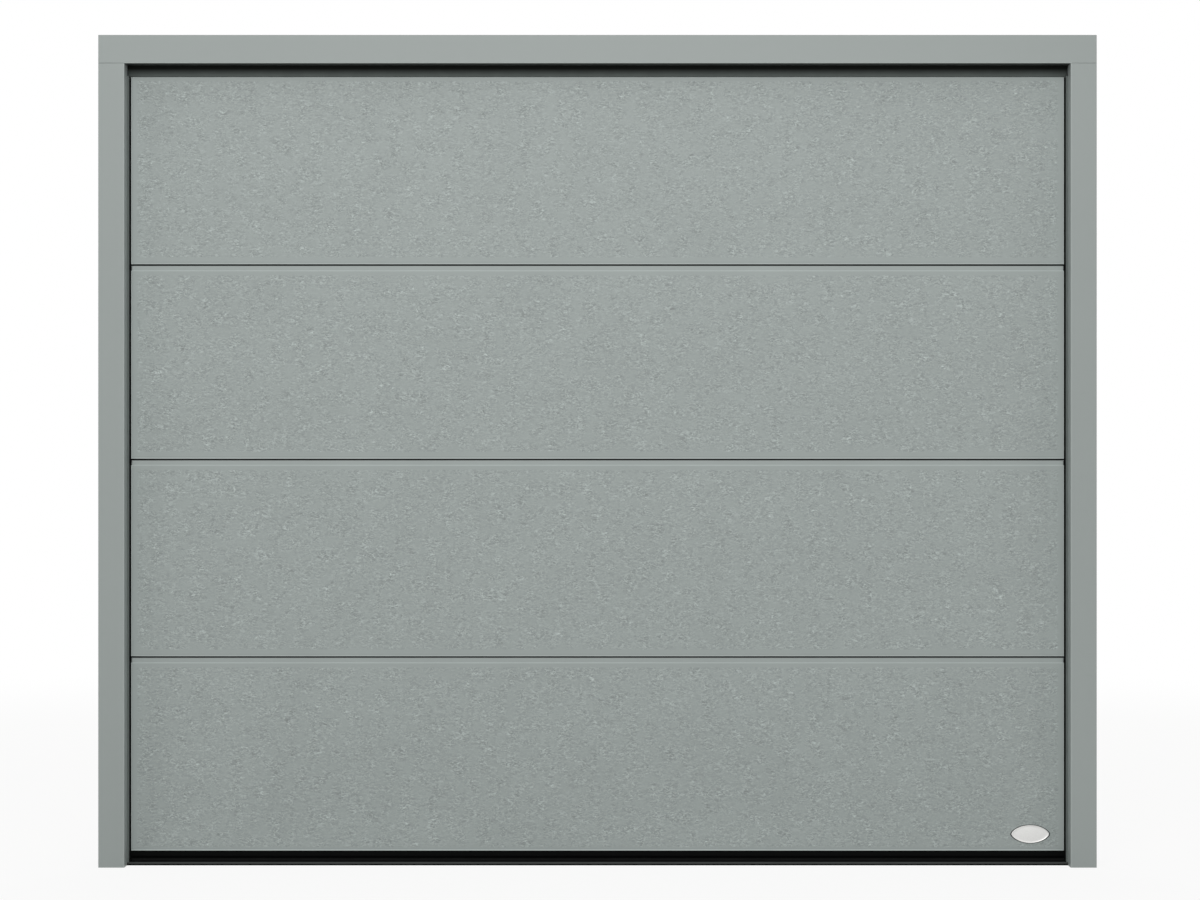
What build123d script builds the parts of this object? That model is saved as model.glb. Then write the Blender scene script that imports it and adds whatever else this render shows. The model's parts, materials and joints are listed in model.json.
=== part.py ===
from build123d import *
import os
from math import cos, radians, sin

# Sectional garage door, closed, in millimetres.
# X runs to the right seen from outside, Y runs into the garage, Z runs up.
# The origin is at floor level, in the middle of the opening, in the leaf's outer face.

# Clear opening and the folded steel surround
opening_width = 2500.0
opening_height = 2125.0
jamb_face = 69.0
header_face = 75.0
frame_sheet = 2.0
frame_setback = 62.0
frame_return = 42.0
return_lip = 18.0
back_flange = 49.0
back_flange_drop = 60.0
header_back_lip = 12.0
frame_bend = 2.0

# Fixing holes of the surround
fixing_hole_radius = 4.5
jamb_hole_margin = 200.0
jamb_hole_count = 4
header_hole_spacing = 2100.0

# Leaf and its four sections
leaf_side_gap = 7.0
leaf_top_gap = 28.0
leaf_thickness = 40.0
bottom_section_height = 516.0
lower_middle_height = 526.2
upper_middle_height = 518.5
joint_gap = 4.0
shoulder_height = 13.0
shoulder_depth = 1.6
tongue_height = 12.0
tongue_front = 11.0
tongue_width = 18.0
tongue_taper = 2.5
tongue_clearance = 0.3
corner_notch_width = 3.0
corner_notch_height = 13.0
cap_sheet = 1.5
cap_flange = 60.0
cap_front_inset = 2.0

# Seals and threshold strip
threshold_height = 8.0
threshold_nose = 24.0
threshold_nose_edge = 5.0
threshold_nose_run = 4.0
threshold_back = 56.0
threshold_ramp = 14.0
bottom_seal_height = 27.5
bottom_seal_inset = 0.5
bottom_seal_wall = 2.5
bottom_seal_foot = 24.0
bottom_seal_neck = 14.0
bottom_rail_height = 6.0
side_seal_reveal = 4.0
side_seal_thickness = 4.0
side_seal_flange = 20.0
side_seal_leg = 48.0
side_seal_fin_setback = 30.0
side_seal_fin_thickness = 2.5
seal_touch_gap = 0.3
top_seal_thickness = 4.0
top_seal_base = 18.0
top_seal_reach = 3.0
top_seal_tip = 2.5

# Badge on the bottom section
badge_length = 106.0
badge_height = 50.0
badge_thickness = 2.5
badge_rim = 1.2
badge_edge_distance = 90.0
badge_rise = 44.5

# Hinges and brackets on the inner face of the leaf
plate_sheet = 3.0
plate_width = 60.0
plate_edge_distance = 15.0
hinge_plate_height = 52.0
hinge_barrel_radius = 8.0
centre_hinge_spacing = 830.0
centre_hinge_count = 2
ear_height = 28.0
ear_margin = 9.0
hinge_roller_rise = 24.0
bottom_plate_height = 116.0
bottom_roller_rise = 72.0
top_plate_height = 120.0
top_plate_drop = 20.0
arm_width = 20.0
arm_head = 14.0

# Rollers
stem_radius = 5.5
stem_reach_in = 8.0
wheel_width = 20.0
wheel_hub_radius = 11.0
wheel_recess_radius = 18.0
wheel_recess_depth = 3.0
wheel_rim_chamfer = 2.0
roller_play = 0.3
bore_clearance = 0.1

# Tracks
track_depth = 52.0
track_width = 35.0
track_sheet = 2.0
track_lip = 10.0
track_side_gap = 12.0
track_leaf_gap = 2.0
track_foot_gap = 5.0
track_headroom = 16.0
curve_radius = 280.0
track_length = 2600.0

# Corner plates, cables and pulleys
corner_plate_sheet = 3.0
corner_plate_low = 46.0
corner_plate_overlap = 132.0
corner_plate_waist_setback = 48.0
corner_plate_waist_drop = 70.0
corner_plate_edge = 4.0
cable_radius = 2.0
cable_leaf_gap = 12.0
cable_side_gap = 4.0
cable_track_rise = 3.0
half_bend = radians(45)
cable_anchor_rise = 34.0
cable_touch_gap = 0.3
anchor_pin_radius = 4.0
anchor_head_radius = 7.0
anchor_head_thickness = 2.5
anchor_eye_length = 16.0
pulley_path_radius = 35.0
pulley_flange = 3.0
pulley_width = 10.0
pulley_rim_land = 1.7
axle_radius = 5.0
axle_head_radius = 8.0
axle_head_thickness = 2.0

# Spring shaft at the rear ends of the tracks
shaft_radius = 12.7
shaft_overhang = 12.0
shaft_behind_tracks = 80.0
drum_path_radius = 50.0
drum_width = 40.0
drum_flange = 10.0
drum_flange_thickness = 4.0
drum_hub_radius = 22.0
drum_hub_length = 10.0
drum_cable_offset = 18.0
bearing_radius = 24.0
bearing_proud = 5.0
bearing_plate_length = 240.0
bearing_plate_margin = 45.0
spring_length = 600.0
spring_outer_radius = 32.0
spring_wire = 6.0
cone_collar_radius = 34.0
cone_collar_length = 14.0
cone_nose_length = 40.0
cone_clearance = 0.3
winding_collar_length = 26.0
centre_plate_sheet = 6.0
centre_plate_margin = 25.0

# Crossbar and ceiling hangers
crossbar_leg = 40.0
crossbar_sheet = 3.0
ceiling_gap = 100.0
hanger_sheet = 3.0
hanger_width = 40.0
hanger_foot = 48.0
hanger_drop = 20.0
rear_hanger_setback = 160.0
hanger_pitch = 1090.0
hanger_hole_inset = 24.0

# Places that follow from the sizes above
half_opening = opening_width / 2
frame_half = half_opening + jamb_face
frame_top = opening_height + header_face
frame_front = -frame_setback
return_back = frame_front + frame_return
outer_sheet = frame_half - frame_sheet

leaf_half = half_opening - leaf_side_gap
core_half = leaf_half - cap_sheet
leaf_bottom = threshold_height + bottom_seal_height
joint_1 = leaf_bottom + bottom_section_height
joint_2 = joint_1 + lower_middle_height
joint_3 = joint_2 + upper_middle_height
joints = [joint_1, joint_2, joint_3]
leaf_top = opening_height - leaf_top_gap
cap_back = leaf_thickness + cap_sheet

track_inner = half_opening + track_side_gap
track_outer = track_inner + track_width
track_front = leaf_thickness + track_leaf_gap
track_back = track_front + track_depth
track_middle = track_front + track_depth / 2
upper_track_top = frame_top - track_headroom
upper_track_bottom = upper_track_top - track_depth
upper_track_middle = upper_track_top - track_depth / 2
lower_track_bottom = upper_track_bottom - track_depth
lower_track_middle = upper_track_bottom - track_depth / 2
curve_start = lower_track_middle - curve_radius
curve_end = track_middle + curve_radius
back_flange_top = curve_start - back_flange_drop
frame_back = track_back + frame_sheet
frame_middle = (frame_front + frame_back) / 2
jamb_hole_pitch = (opening_height - 2 * jamb_hole_margin) / (jamb_hole_count - 1)

plate_outer = leaf_half - plate_edge_distance
plate_inner = plate_outer - plate_width
plate_back = cap_back + plate_sheet
ear_back = track_middle + ear_margin
bottom_roller = leaf_bottom + bottom_roller_rise
hinge_rollers = [joint + hinge_roller_rise for joint in joints]
roller_places = [bottom_roller] + hinge_rollers + [upper_track_middle]
wheel_radius = track_depth / 2 - track_sheet - roller_play
wheel_middle = (track_inner + track_outer) / 2

cable_x = half_opening + cable_side_gap
cable_y = leaf_thickness + cable_leaf_gap
cable_anchor = leaf_bottom + cable_anchor_rise
cable_run = upper_track_bottom + cable_track_rise
pulley_y = cable_y + pulley_path_radius
pulley_z = cable_run - pulley_path_radius
corner_plate_outer = track_outer + corner_plate_sheet
corner_plate_reach = curve_end + corner_plate_overlap
corner_plate_waist = curve_end - corner_plate_waist_setback
corner_plate_waist_height = lower_track_bottom - corner_plate_waist_drop

shaft_y = track_length + shaft_behind_tracks
shaft_z = cable_run - drum_path_radius
spring_start = centre_plate_sheet / 2 + cone_collar_length
spring_end = spring_start + spring_length
spring_inner_radius = spring_outer_radius - spring_wire

ceiling_height = frame_top + ceiling_gap
rear_hanger_place = track_length - rear_hanger_setback
hanger_places = [rear_hanger_place - hanger_pitch, rear_hanger_place]


def block(x0, x1, y0, y1, z0, z1):
    """A plain block between two corners."""
    middle = Pos((x0 + x1) / 2, (y0 + y1) / 2, (z0 + z1) / 2)
    return middle * Box(x1 - x0, y1 - y0, z1 - z0)


def bar_along_x(outline, x0, x1):
    """A bar with a (y, z) outline, from x0 to x1."""
    points = [Vector(x0, y, z) for y, z in outline]
    face = make_face(Polyline(*points, close=True))
    return extrude(face, amount=x1 - x0, dir=(1, 0, 0))


def bar_along_y(outline, y0, y1):
    """A bar with an (x, z) outline, from y0 to y1."""
    points = [Vector(x, y0, z) for x, z in outline]
    face = make_face(Polyline(*points, close=True))
    return extrude(face, amount=y1 - y0, dir=(0, 1, 0))


def bar_along_z(outline, z0, z1):
    """A bar with an (x, y) outline, from z0 to z1."""
    points = [Vector(x, y, z0) for x, y in outline]
    face = make_face(Polyline(*points, close=True))
    return extrude(face, amount=z1 - z0, dir=(0, 0, 1))


def rod_along_x(x0, x1, y, z, radius):
    """A round rod along X."""
    turn = Rot(0, 90, 0)
    return Pos((x0 + x1) / 2, y, z) * turn * Cylinder(radius, x1 - x0)


def rod_along_z(x, y, z0, z1, radius):
    """A round rod along Z."""
    return Pos(x, y, (z0 + z1) / 2) * Cylinder(radius, z1 - z0)


def left_of(right_piece):
    """The same piece on the left side."""
    return mirror(right_piece, about=Plane.YZ)


def both_sides(right_piece):
    """The piece of the right side and its twin on the left, as separate solids."""
    return right_piece.solids() + left_of(right_piece).solids()


# Surround

def front_edges(shape):
    """The outer edges of the surround's front face, where its sheet is bent."""
    reach = frame_sheet / 2
    return shape.edges().filter_by_position(Axis.Y, frame_front - reach, frame_front + reach)


def jamb():
    """Right jamb: one folded sheet with a face, a return with a lip, a side and a back flange."""
    face = block(half_opening, frame_half, frame_front, frame_front + frame_sheet, 0, opening_height)
    inner = block(half_opening, half_opening + frame_sheet, frame_front, return_back, 0, opening_height)
    lip_end = half_opening + return_lip
    lip = block(half_opening, lip_end, return_back - frame_sheet, return_back, 0, opening_height)
    side = block(outer_sheet, frame_half, frame_front, frame_back, 0, opening_height)
    flange = block(frame_half - back_flange, frame_half, track_back, frame_back, 0, back_flange_top)
    shape = face + inner + lip + side + flange
    shape = fillet(front_edges(shape).filter_by(Axis.Z), frame_bend)
    for number in range(jamb_hole_count):
        height = jamb_hole_margin + number * jamb_hole_pitch
        past = frame_sheet
        shape -= rod_along_x(outer_sheet - past, frame_half + past, frame_middle, height, fixing_hole_radius)
    return shape


def header():
    """Header: a folded sheet over both jambs, closed at its ends."""
    sheet = frame_sheet
    face = block(-frame_half, frame_half, frame_front, frame_front + sheet, opening_height, frame_top)
    inner = block(-frame_half, frame_half, frame_front, return_back, opening_height, opening_height + sheet)
    lip_top = opening_height + return_lip
    lip = block(-frame_half, frame_half, return_back - sheet, return_back, opening_height, lip_top)
    top = block(-frame_half, frame_half, frame_front, frame_back, frame_top - sheet, frame_top)
    back_low = frame_top - header_back_lip
    back = block(-frame_half, frame_half, track_back, frame_back, back_low, frame_top)
    shape = face + inner + lip + top + back
    for side in (-1, 1):
        end = block(outer_sheet, frame_half, frame_front, frame_back, opening_height, frame_top)
        shape += end if side > 0 else left_of(end)
    shape = fillet(front_edges(shape), frame_bend)
    for side in (-1, 1):
        place = side * header_hole_spacing / 2
        shape -= rod_along_z(place, frame_middle, frame_top - 2 * sheet, frame_top + sheet, fixing_hole_radius)
    return shape


# Leaf

def section_outline(low, high, has_groove, has_tongue):
    """The (y, z) outline of a section, with a groove below and a tongue above where it meets another."""
    half_gap = joint_gap / 2
    tongue_back = tongue_front + tongue_width
    if has_groove:
        groove_top = low + tongue_height + tongue_clearance
        lower = low + half_gap
        points = [
            (leaf_thickness, lower),
            (tongue_back + tongue_clearance, lower),
            (tongue_back - tongue_taper + tongue_clearance, groove_top),
            (tongue_front + tongue_taper - tongue_clearance, groove_top),
            (tongue_front - tongue_clearance, lower),
            (0, lower),
        ]
    else:
        points = [(leaf_thickness, low), (0, low)]
    if has_tongue:
        upper = high - half_gap
        points += [
            (0, upper - shoulder_height),
            (shoulder_depth, upper),
            (tongue_front, upper),
            (tongue_front + tongue_taper, high + tongue_height),
            (tongue_back - tongue_taper, high + tongue_height),
            (tongue_back, upper),
            (leaf_thickness, upper),
        ]
    else:
        points += [(0, high), (leaf_thickness, high)]
    return points


def section(low, high, has_groove, has_tongue):
    """One section of the leaf, rebated at its ends for the end caps."""
    shape = bar_along_x(section_outline(low, high, has_groove, has_tongue), -leaf_half, leaf_half)
    tall = high + tongue_height + joint_gap
    rebate = block(core_half, leaf_half, cap_front_inset, leaf_thickness, low, tall)
    shape -= rebate
    shape -= left_of(rebate)
    if has_tongue:
        notch_low = high - joint_gap / 2 - corner_notch_height
        notch_in = leaf_half - corner_notch_width
        notch = block(notch_in, leaf_half, 0, cap_front_inset, notch_low, tall)
        shape -= notch
        shape -= left_of(notch)
    return shape


def end_cap(low, high):
    """Right end cap of a section: a folded sheet over its end and round to its inner face."""
    side = block(core_half, leaf_half, cap_front_inset, cap_back, low, high)
    flange = block(leaf_half - cap_flange, leaf_half, leaf_thickness, cap_back, low, high)
    return side + flange


def end_caps():
    """Caps on both ends of all four sections."""
    half_gap = joint_gap / 2
    lows = [leaf_bottom] + [joint + half_gap for joint in joints]
    highs = [joint - half_gap for joint in joints] + [leaf_top]
    caps = []
    for low, high in zip(lows, highs):
        caps += both_sides(end_cap(low, high))
    return caps


def badge():
    """Pointed oval plate, with a bevelled rim."""
    centre_x = leaf_half - badge_edge_distance
    centre_z = leaf_bottom + badge_rise
    half = badge_length / 2
    rise = badge_height / 2
    left_tip = Vector(centre_x - half, 0, centre_z)
    right_tip = Vector(centre_x + half, 0, centre_z)
    top = Vector(centre_x, 0, centre_z + rise)
    bottom = Vector(centre_x, 0, centre_z - rise)
    upper = ThreePointArc(left_tip, top, right_tip)
    lower = ThreePointArc(right_tip, bottom, left_tip)
    plate = extrude(make_face(upper + lower), amount=badge_thickness, dir=(0, -1, 0))
    front = plate.faces().sort_by(Axis.Y)[0]
    return chamfer(front.edges(), badge_rim)


# Seals

def threshold_strip():
    """Strip on the floor with a rounded nose in front and a ramp behind."""
    outline = [
        (-threshold_nose, 0),
        (-threshold_nose, threshold_nose_edge),
        (threshold_nose_run - threshold_nose, threshold_height),
        (threshold_back - threshold_ramp, threshold_height),
        (threshold_back, 0),
    ]
    return bar_along_x(outline, -half_opening, half_opening)


def bottom_rail():
    """Aluminium rail under the bottom section, inside the seal's upper lips."""
    front = bottom_seal_inset + bottom_seal_wall
    back = leaf_thickness - front
    return block(-core_half, core_half, front, back, leaf_bottom - bottom_rail_height, leaf_bottom)


def bottom_seal():
    """Hollow rubber seal, clipped over the rail and pressed on the threshold strip."""
    front = bottom_seal_inset
    back = leaf_thickness - bottom_seal_inset
    wall = bottom_seal_wall
    middle = leaf_thickness / 2
    foot = bottom_seal_foot / 2
    neck = threshold_height + bottom_seal_neck
    shelf = leaf_bottom - bottom_rail_height
    outline = [
        (front, leaf_bottom),
        (front, neck),
        (middle - foot, threshold_height),
        (middle + foot, threshold_height),
        (back, neck),
        (back, leaf_bottom),
        (back - wall, leaf_bottom),
        (back - wall, shelf),
        (front + wall, shelf),
        (front + wall, leaf_bottom),
    ]
    hollow = [
        (front + wall, neck),
        (middle - foot + wall / 2, threshold_height + wall),
        (middle + foot - wall / 2, threshold_height + wall),
        (back - wall, neck),
        (back - wall, shelf - wall),
        (front + wall, shelf - wall),
    ]
    shape = bar_along_x(outline, -leaf_half, leaf_half)
    return shape - bar_along_x(hollow, -leaf_half, leaf_half)


def side_seal():
    """Right side seal: a flange behind the jamb's lip, a leg beside the leaf and a fin towards it."""
    lip = half_opening - side_seal_reveal
    outline = [
        (lip, return_back),
        (lip + side_seal_flange, return_back),
        (lip + side_seal_flange, return_back + side_seal_thickness),
        (lip + side_seal_thickness, return_back + side_seal_thickness),
        (lip + side_seal_thickness, return_back + side_seal_leg),
        (lip, return_back + side_seal_leg),
        (lip, return_back + side_seal_fin_setback + side_seal_fin_thickness),
        (leaf_half + seal_touch_gap, return_back + side_seal_fin_setback + side_seal_fin_thickness),
        (leaf_half + seal_touch_gap, return_back + side_seal_fin_setback),
        (lip, return_back + side_seal_fin_setback),
    ]
    return bar_along_z(outline, threshold_height, leaf_top)


def top_seal():
    """Seal under the header: a flange behind the header's lip and a lip slanting to the leaf's top edge."""
    back = return_back + top_seal_thickness
    tip = leaf_top + seal_touch_gap
    outline = [
        (return_back, opening_height + top_seal_base),
        (return_back, opening_height - frame_sheet),
        (-top_seal_reach, tip + top_seal_tip),
        (0, tip),
        (top_seal_reach, tip),
        (top_seal_reach, tip + top_seal_tip),
        (back, opening_height + frame_sheet),
        (back, opening_height + top_seal_base),
    ]
    return bar_along_x(outline, -half_opening, half_opening)


# Hinges and brackets

def roller_ears(outline, height):
    """Two ears with bores for a roller stem at this height."""
    ears = bar_along_x(outline, plate_outer - plate_sheet, plate_outer)
    ears += bar_along_x(outline, plate_inner, plate_inner + plate_sheet)
    bore = rod_along_x(plate_inner, plate_outer, track_middle, height, stem_radius + bore_clearance)
    return ears - bore


def ear_outline(height):
    """A tapered ear around the roller stem."""
    half = ear_height / 2
    return [
        (cap_back, height - half - ear_margin),
        (ear_back, height - ear_margin),
        (ear_back, height + ear_margin),
        (cap_back, height + half + ear_margin),
    ]


def hinge(x0, x1, seat, joint):
    """Hinge across a joint between two sections, with its barrel on the joint."""
    low = joint - hinge_plate_height
    high = joint + hinge_plate_height
    plate = block(x0, x1, seat, seat + plate_sheet, low, high)
    barrel_y = seat + hinge_barrel_radius
    return plate + rod_along_x(x0, x1, barrel_y, joint, hinge_barrel_radius)


def side_hinge(joint):
    """Right side hinge, with ears for the roller above its barrel."""
    height = joint + hinge_roller_rise
    shape = hinge(plate_inner, plate_outer, cap_back, joint)
    return shape + roller_ears(ear_outline(height), height)


def centre_hinges():
    """Plain hinges along each joint."""
    hinges = []
    first = -centre_hinge_spacing * (centre_hinge_count - 1) / 2
    for joint in joints:
        for number in range(centre_hinge_count):
            middle = first + number * centre_hinge_spacing
            x0 = middle - plate_width / 2
            hinges += hinge(x0, x0 + plate_width, leaf_thickness, joint).solids()
    return hinges


def bottom_bracket():
    """Right bottom bracket: plate, roller ears and the pin that the lift cable hooks on."""
    low = leaf_bottom + joint_gap
    plate = block(plate_inner, plate_outer, cap_back, plate_back, low, low + bottom_plate_height)
    shape = plate + roller_ears(ear_outline(bottom_roller), bottom_roller)
    half = anchor_eye_length / 2
    lug_low = cable_anchor - half
    lug_high = cable_anchor + half
    lug_back = cable_y + half
    lug = block(plate_outer - plate_sheet, plate_outer, cap_back, lug_back, lug_low, lug_high)
    pin_end = cable_x + anchor_pin_radius
    pin = rod_along_x(plate_outer - plate_sheet, pin_end, cable_y, cable_anchor, anchor_pin_radius)
    head_end = pin_end + anchor_head_thickness
    head = rod_along_x(pin_end, head_end, cable_y, cable_anchor, anchor_head_radius)
    return shape + lug + pin + head


def top_bracket():
    """Right top bracket: plate and two arms that reach up to the roller in the upper track."""
    high = leaf_top - top_plate_drop
    low = high - top_plate_height
    plate = block(plate_inner, plate_outer, cap_back, plate_back, low, high)
    arm = [
        (cap_back, low),
        (ear_back, low + arm_width),
        (ear_back, upper_track_middle + arm_head),
        (ear_back - arm_width, upper_track_middle + arm_head),
        (cap_back, high),
    ]
    return plate + roller_ears(arm, upper_track_middle)


# Rollers

def roller_wheel(height):
    """Right roller wheel: a tyre, a recessed web and a hub."""
    x0 = wheel_middle - wheel_width / 2
    x1 = wheel_middle + wheel_width / 2
    wheel = chamfer(rod_along_x(x0, x1, track_middle, height, wheel_radius).edges(), wheel_rim_chamfer)
    for start, end in ((x0, x0 + wheel_recess_depth), (x1 - wheel_recess_depth, x1)):
        recess = rod_along_x(start, end, track_middle, height, wheel_recess_radius)
        recess -= rod_along_x(start, end, track_middle, height, wheel_hub_radius)
        wheel -= recess
    return wheel - rod_along_x(x0, x1, track_middle, height, stem_radius + bore_clearance)


def roller_stem(height):
    """Right roller stem, through the ears and into the wheel."""
    start = plate_inner - stem_reach_in
    end = wheel_middle + wheel_width / 2
    return rod_along_x(start, end, track_middle, height, stem_radius)


def rollers(make):
    """One wheel or stem for each bracket and hinge, on both sides."""
    pieces = []
    for height in roller_places:
        pieces += both_sides(make(height))
    return pieces


# Tracks

def track_outline(front, back):
    """The channel of a track, open towards the leaf, as (x, across) points."""
    sheet = track_sheet
    lip_x = track_inner + sheet
    return [
        (track_inner, front),
        (track_outer, front),
        (track_outer, back),
        (track_inner, back),
        (track_inner, back - track_lip),
        (lip_x, back - track_lip),
        (lip_x, back - sheet),
        (track_outer - sheet, back - sheet),
        (track_outer - sheet, front + sheet),
        (lip_x, front + sheet),
        (lip_x, front + track_lip),
        (track_inner, front + track_lip),
    ]


def vertical_track():
    """Right vertical track, from just over the floor to the curve."""
    return bar_along_z(track_outline(track_front, track_back), track_foot_gap, curve_start)


def curved_track():
    """Right curved track, a quarter turn into the garage."""
    points = [Vector(x, y, curve_start) for x, y in track_outline(track_front, track_back)]
    face = make_face(Polyline(*points, close=True))
    axis = Axis((0, curve_end, curve_start), (-1, 0, 0))
    return revolve(face, axis, 90)


def lower_track():
    """Right horizontal track for the rollers of the hinges."""
    return bar_along_y(track_outline(lower_track_bottom, upper_track_bottom), curve_end, track_length)


def upper_track():
    """Right horizontal track for the top roller, straight on top of the lower one."""
    return bar_along_y(track_outline(upper_track_bottom, upper_track_top), track_front, track_length)


def corner_plate():
    """Right corner plate: ties the tracks to each other and to the header, and carries the pulley."""
    edge = corner_plate_edge
    low = curve_start - corner_plate_low
    outline = [
        (track_front + edge, low),
        (track_back - edge, low),
        (corner_plate_waist, corner_plate_waist_height),
        (corner_plate_reach, lower_track_bottom + edge),
        (corner_plate_reach, upper_track_top),
        (track_front + edge, upper_track_top),
    ]
    plate = bar_along_x(outline, track_outer, corner_plate_outer)
    tie_low = upper_track_top - corner_plate_sheet
    tie = block(track_outer, outer_sheet, track_front + edge, track_back - edge, tie_low, upper_track_top)
    head_in = cable_x - pulley_width / 2 - axle_head_thickness
    axle = rod_along_x(head_in, track_outer, pulley_y, pulley_z, axle_radius)
    head_out = head_in + axle_head_thickness
    head = rod_along_x(head_in, head_out, pulley_y, pulley_z, axle_head_radius)
    return plate + tie + axle + head


# Cables and spring shaft

def pulley():
    """Right cable pulley: a grooved wheel on the corner plate's axle."""
    x0 = cable_x - pulley_width / 2
    x1 = cable_x + pulley_width / 2
    groove = pulley_path_radius - cable_radius - cable_touch_gap
    rim = pulley_path_radius + pulley_flange
    points = [
        Vector(x0, pulley_y, pulley_z + axle_radius + bore_clearance),
        Vector(x0, pulley_y, pulley_z + rim),
        Vector(x0 + pulley_rim_land, pulley_y, pulley_z + rim),
        Vector(cable_x - cable_radius, pulley_y, pulley_z + groove),
        Vector(cable_x + cable_radius, pulley_y, pulley_z + groove),
        Vector(x1 - pulley_rim_land, pulley_y, pulley_z + rim),
        Vector(x1, pulley_y, pulley_z + rim),
        Vector(x1, pulley_y, pulley_z + axle_radius + bore_clearance),
    ]
    face = make_face(Polyline(*points, close=True))
    return revolve(face, Axis((0, pulley_y, pulley_z), (1, 0, 0)), 360)


def lift_cable():
    """Right lift cable: up from the bottom bracket, over the pulley, back and round the drum."""
    start = cable_anchor + anchor_pin_radius + cable_touch_gap
    pulley_in = Vector(cable_x, cable_y, pulley_z)
    pulley_mid = Vector(
        cable_x,
        pulley_y - pulley_path_radius * cos(half_bend),
        pulley_z + pulley_path_radius * sin(half_bend),
    )
    pulley_out = Vector(cable_x, pulley_y, cable_run)
    drum_in = Vector(cable_x, shaft_y, cable_run)
    drum_mid = Vector(
        cable_x,
        shaft_y + drum_path_radius * cos(half_bend),
        shaft_z + drum_path_radius * sin(half_bend),
    )
    drum_out = Vector(cable_x, shaft_y + drum_path_radius, shaft_z)
    path = Line(Vector(cable_x, cable_y, start), pulley_in)
    path += ThreePointArc(pulley_in, pulley_mid, pulley_out)
    path += Line(pulley_out, drum_in)
    path += ThreePointArc(drum_in, drum_mid, drum_out)
    section_circle = Plane(origin=(cable_x, cable_y, start), z_dir=(0, 0, 1)) * Circle(cable_radius)
    return sweep(section_circle, path=path)


def drum():
    """Right cable drum: a barrel with a flange outside and a hub inside."""
    x0 = cable_x - drum_cable_offset
    x1 = x0 + drum_width
    barrel = rod_along_x(x0, x1, shaft_y, shaft_z, drum_path_radius - cable_radius - cable_touch_gap)
    rim = drum_path_radius + drum_flange
    flange = rod_along_x(x1 - drum_flange_thickness, x1, shaft_y, shaft_z, rim)
    hub = rod_along_x(x0 - drum_hub_length, x0, shaft_y, shaft_z, drum_hub_radius)
    bore = rod_along_x(x0 - drum_hub_length, x1, shaft_y, shaft_z, shaft_radius + bore_clearance)
    return barrel + flange + hub - bore


def end_bearing_plate():
    """Right end bearing plate, fixed to the rear ends of both tracks."""
    margin = bearing_plate_margin
    outline = [
        (track_length - bearing_plate_length / 2, lower_track_bottom + corner_plate_edge),
        (track_length - bearing_plate_length / 2, upper_track_top),
        (track_length, upper_track_top),
        (shaft_y + margin, shaft_z + margin),
        (shaft_y + margin, shaft_z - margin),
        (shaft_y - margin, shaft_z - margin),
    ]
    plate = bar_along_x(outline, track_outer, corner_plate_outer)
    boss_in = track_outer - bearing_proud
    boss_out = corner_plate_outer + bearing_proud
    boss = rod_along_x(boss_in, boss_out, shaft_y, shaft_z, bearing_radius)
    bore = rod_along_x(boss_in, boss_out, shaft_y, shaft_z, shaft_radius + bore_clearance)
    return plate + boss - bore


def spring_shaft():
    """Shaft across the rear ends of the tracks."""
    end = corner_plate_outer + shaft_overhang
    return rod_along_x(-end, end, shaft_y, shaft_z, shaft_radius)


def torsion_spring():
    """Right torsion spring, as the tube that its close coils fill."""
    coil = rod_along_x(spring_start, spring_end, shaft_y, shaft_z, spring_outer_radius)
    return coil - rod_along_x(spring_start, spring_end, shaft_y, shaft_z, spring_inner_radius)


def spring_cone(collar_start, collar_end, nose_end):
    """A cone in the end of a spring, with its collar outside."""
    nose_start = collar_end
    low = min(nose_start, nose_end)
    high = max(nose_start, nose_end)
    nose = rod_along_x(low, high, shaft_y, shaft_z, spring_inner_radius - cone_clearance)
    first = min(collar_start, collar_end)
    last = max(collar_start, collar_end)
    collar = rod_along_x(first, last, shaft_y, shaft_z, cone_collar_radius)
    bore_low = min(low, first)
    bore_high = max(high, last)
    bore = rod_along_x(bore_low, bore_high, shaft_y, shaft_z, shaft_radius + bore_clearance)
    return nose + collar - bore


def spring_cones():
    """Fixed cones beside the centre bracket and winding cones at the outer ends."""
    fixed = spring_cone(centre_plate_sheet / 2, spring_start, spring_start + cone_nose_length)
    winding = spring_cone(spring_end + winding_collar_length, spring_end, spring_end - cone_nose_length)
    return both_sides(fixed) + both_sides(winding)


def centre_bracket():
    """Bracket under the crossbar that holds the middle of the shaft."""
    margin = centre_plate_margin
    half = centre_plate_sheet / 2
    outline = [
        (track_length, upper_track_top + crossbar_leg),
        (track_length, upper_track_top),
        (shaft_y - margin, shaft_z - margin),
        (shaft_y + margin, shaft_z - margin),
        (shaft_y + margin, shaft_z + margin),
        (track_length + margin, upper_track_top + crossbar_leg),
    ]
    plate = bar_along_x(outline, -half, half)
    return plate - rod_along_x(-half, half, shaft_y, shaft_z, shaft_radius + bore_clearance)


def rear_crossbar():
    """Angle bar across the tops of the tracks, at their rear ends."""
    front = track_length - crossbar_leg
    back = track_length - crossbar_sheet
    top = upper_track_top + crossbar_leg
    outline = [
        (front, upper_track_top),
        (track_length, upper_track_top),
        (track_length, top),
        (back, top),
        (back, upper_track_top + crossbar_sheet),
        (front, upper_track_top + crossbar_sheet),
    ]
    return bar_along_x(outline, -corner_plate_outer, corner_plate_outer)


def ceiling_hanger(place):
    """Right hanger: a strap up the side of the tracks with a foot under the ceiling."""
    half = hanger_width / 2
    outer = track_outer + hanger_sheet
    strap_low = upper_track_bottom - hanger_drop
    strap = block(track_outer, outer, place - half, place + half, strap_low, ceiling_height)
    foot_end = track_outer + hanger_foot
    foot_low = ceiling_height - hanger_sheet
    foot = block(track_outer, foot_end, place - half, place + half, foot_low, ceiling_height)
    hole_x = foot_end - hanger_hole_inset
    past = hanger_sheet
    hole = rod_along_z(hole_x, place, foot_low - past, ceiling_height + past, fixing_hole_radius)
    return strap + foot - hole


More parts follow.
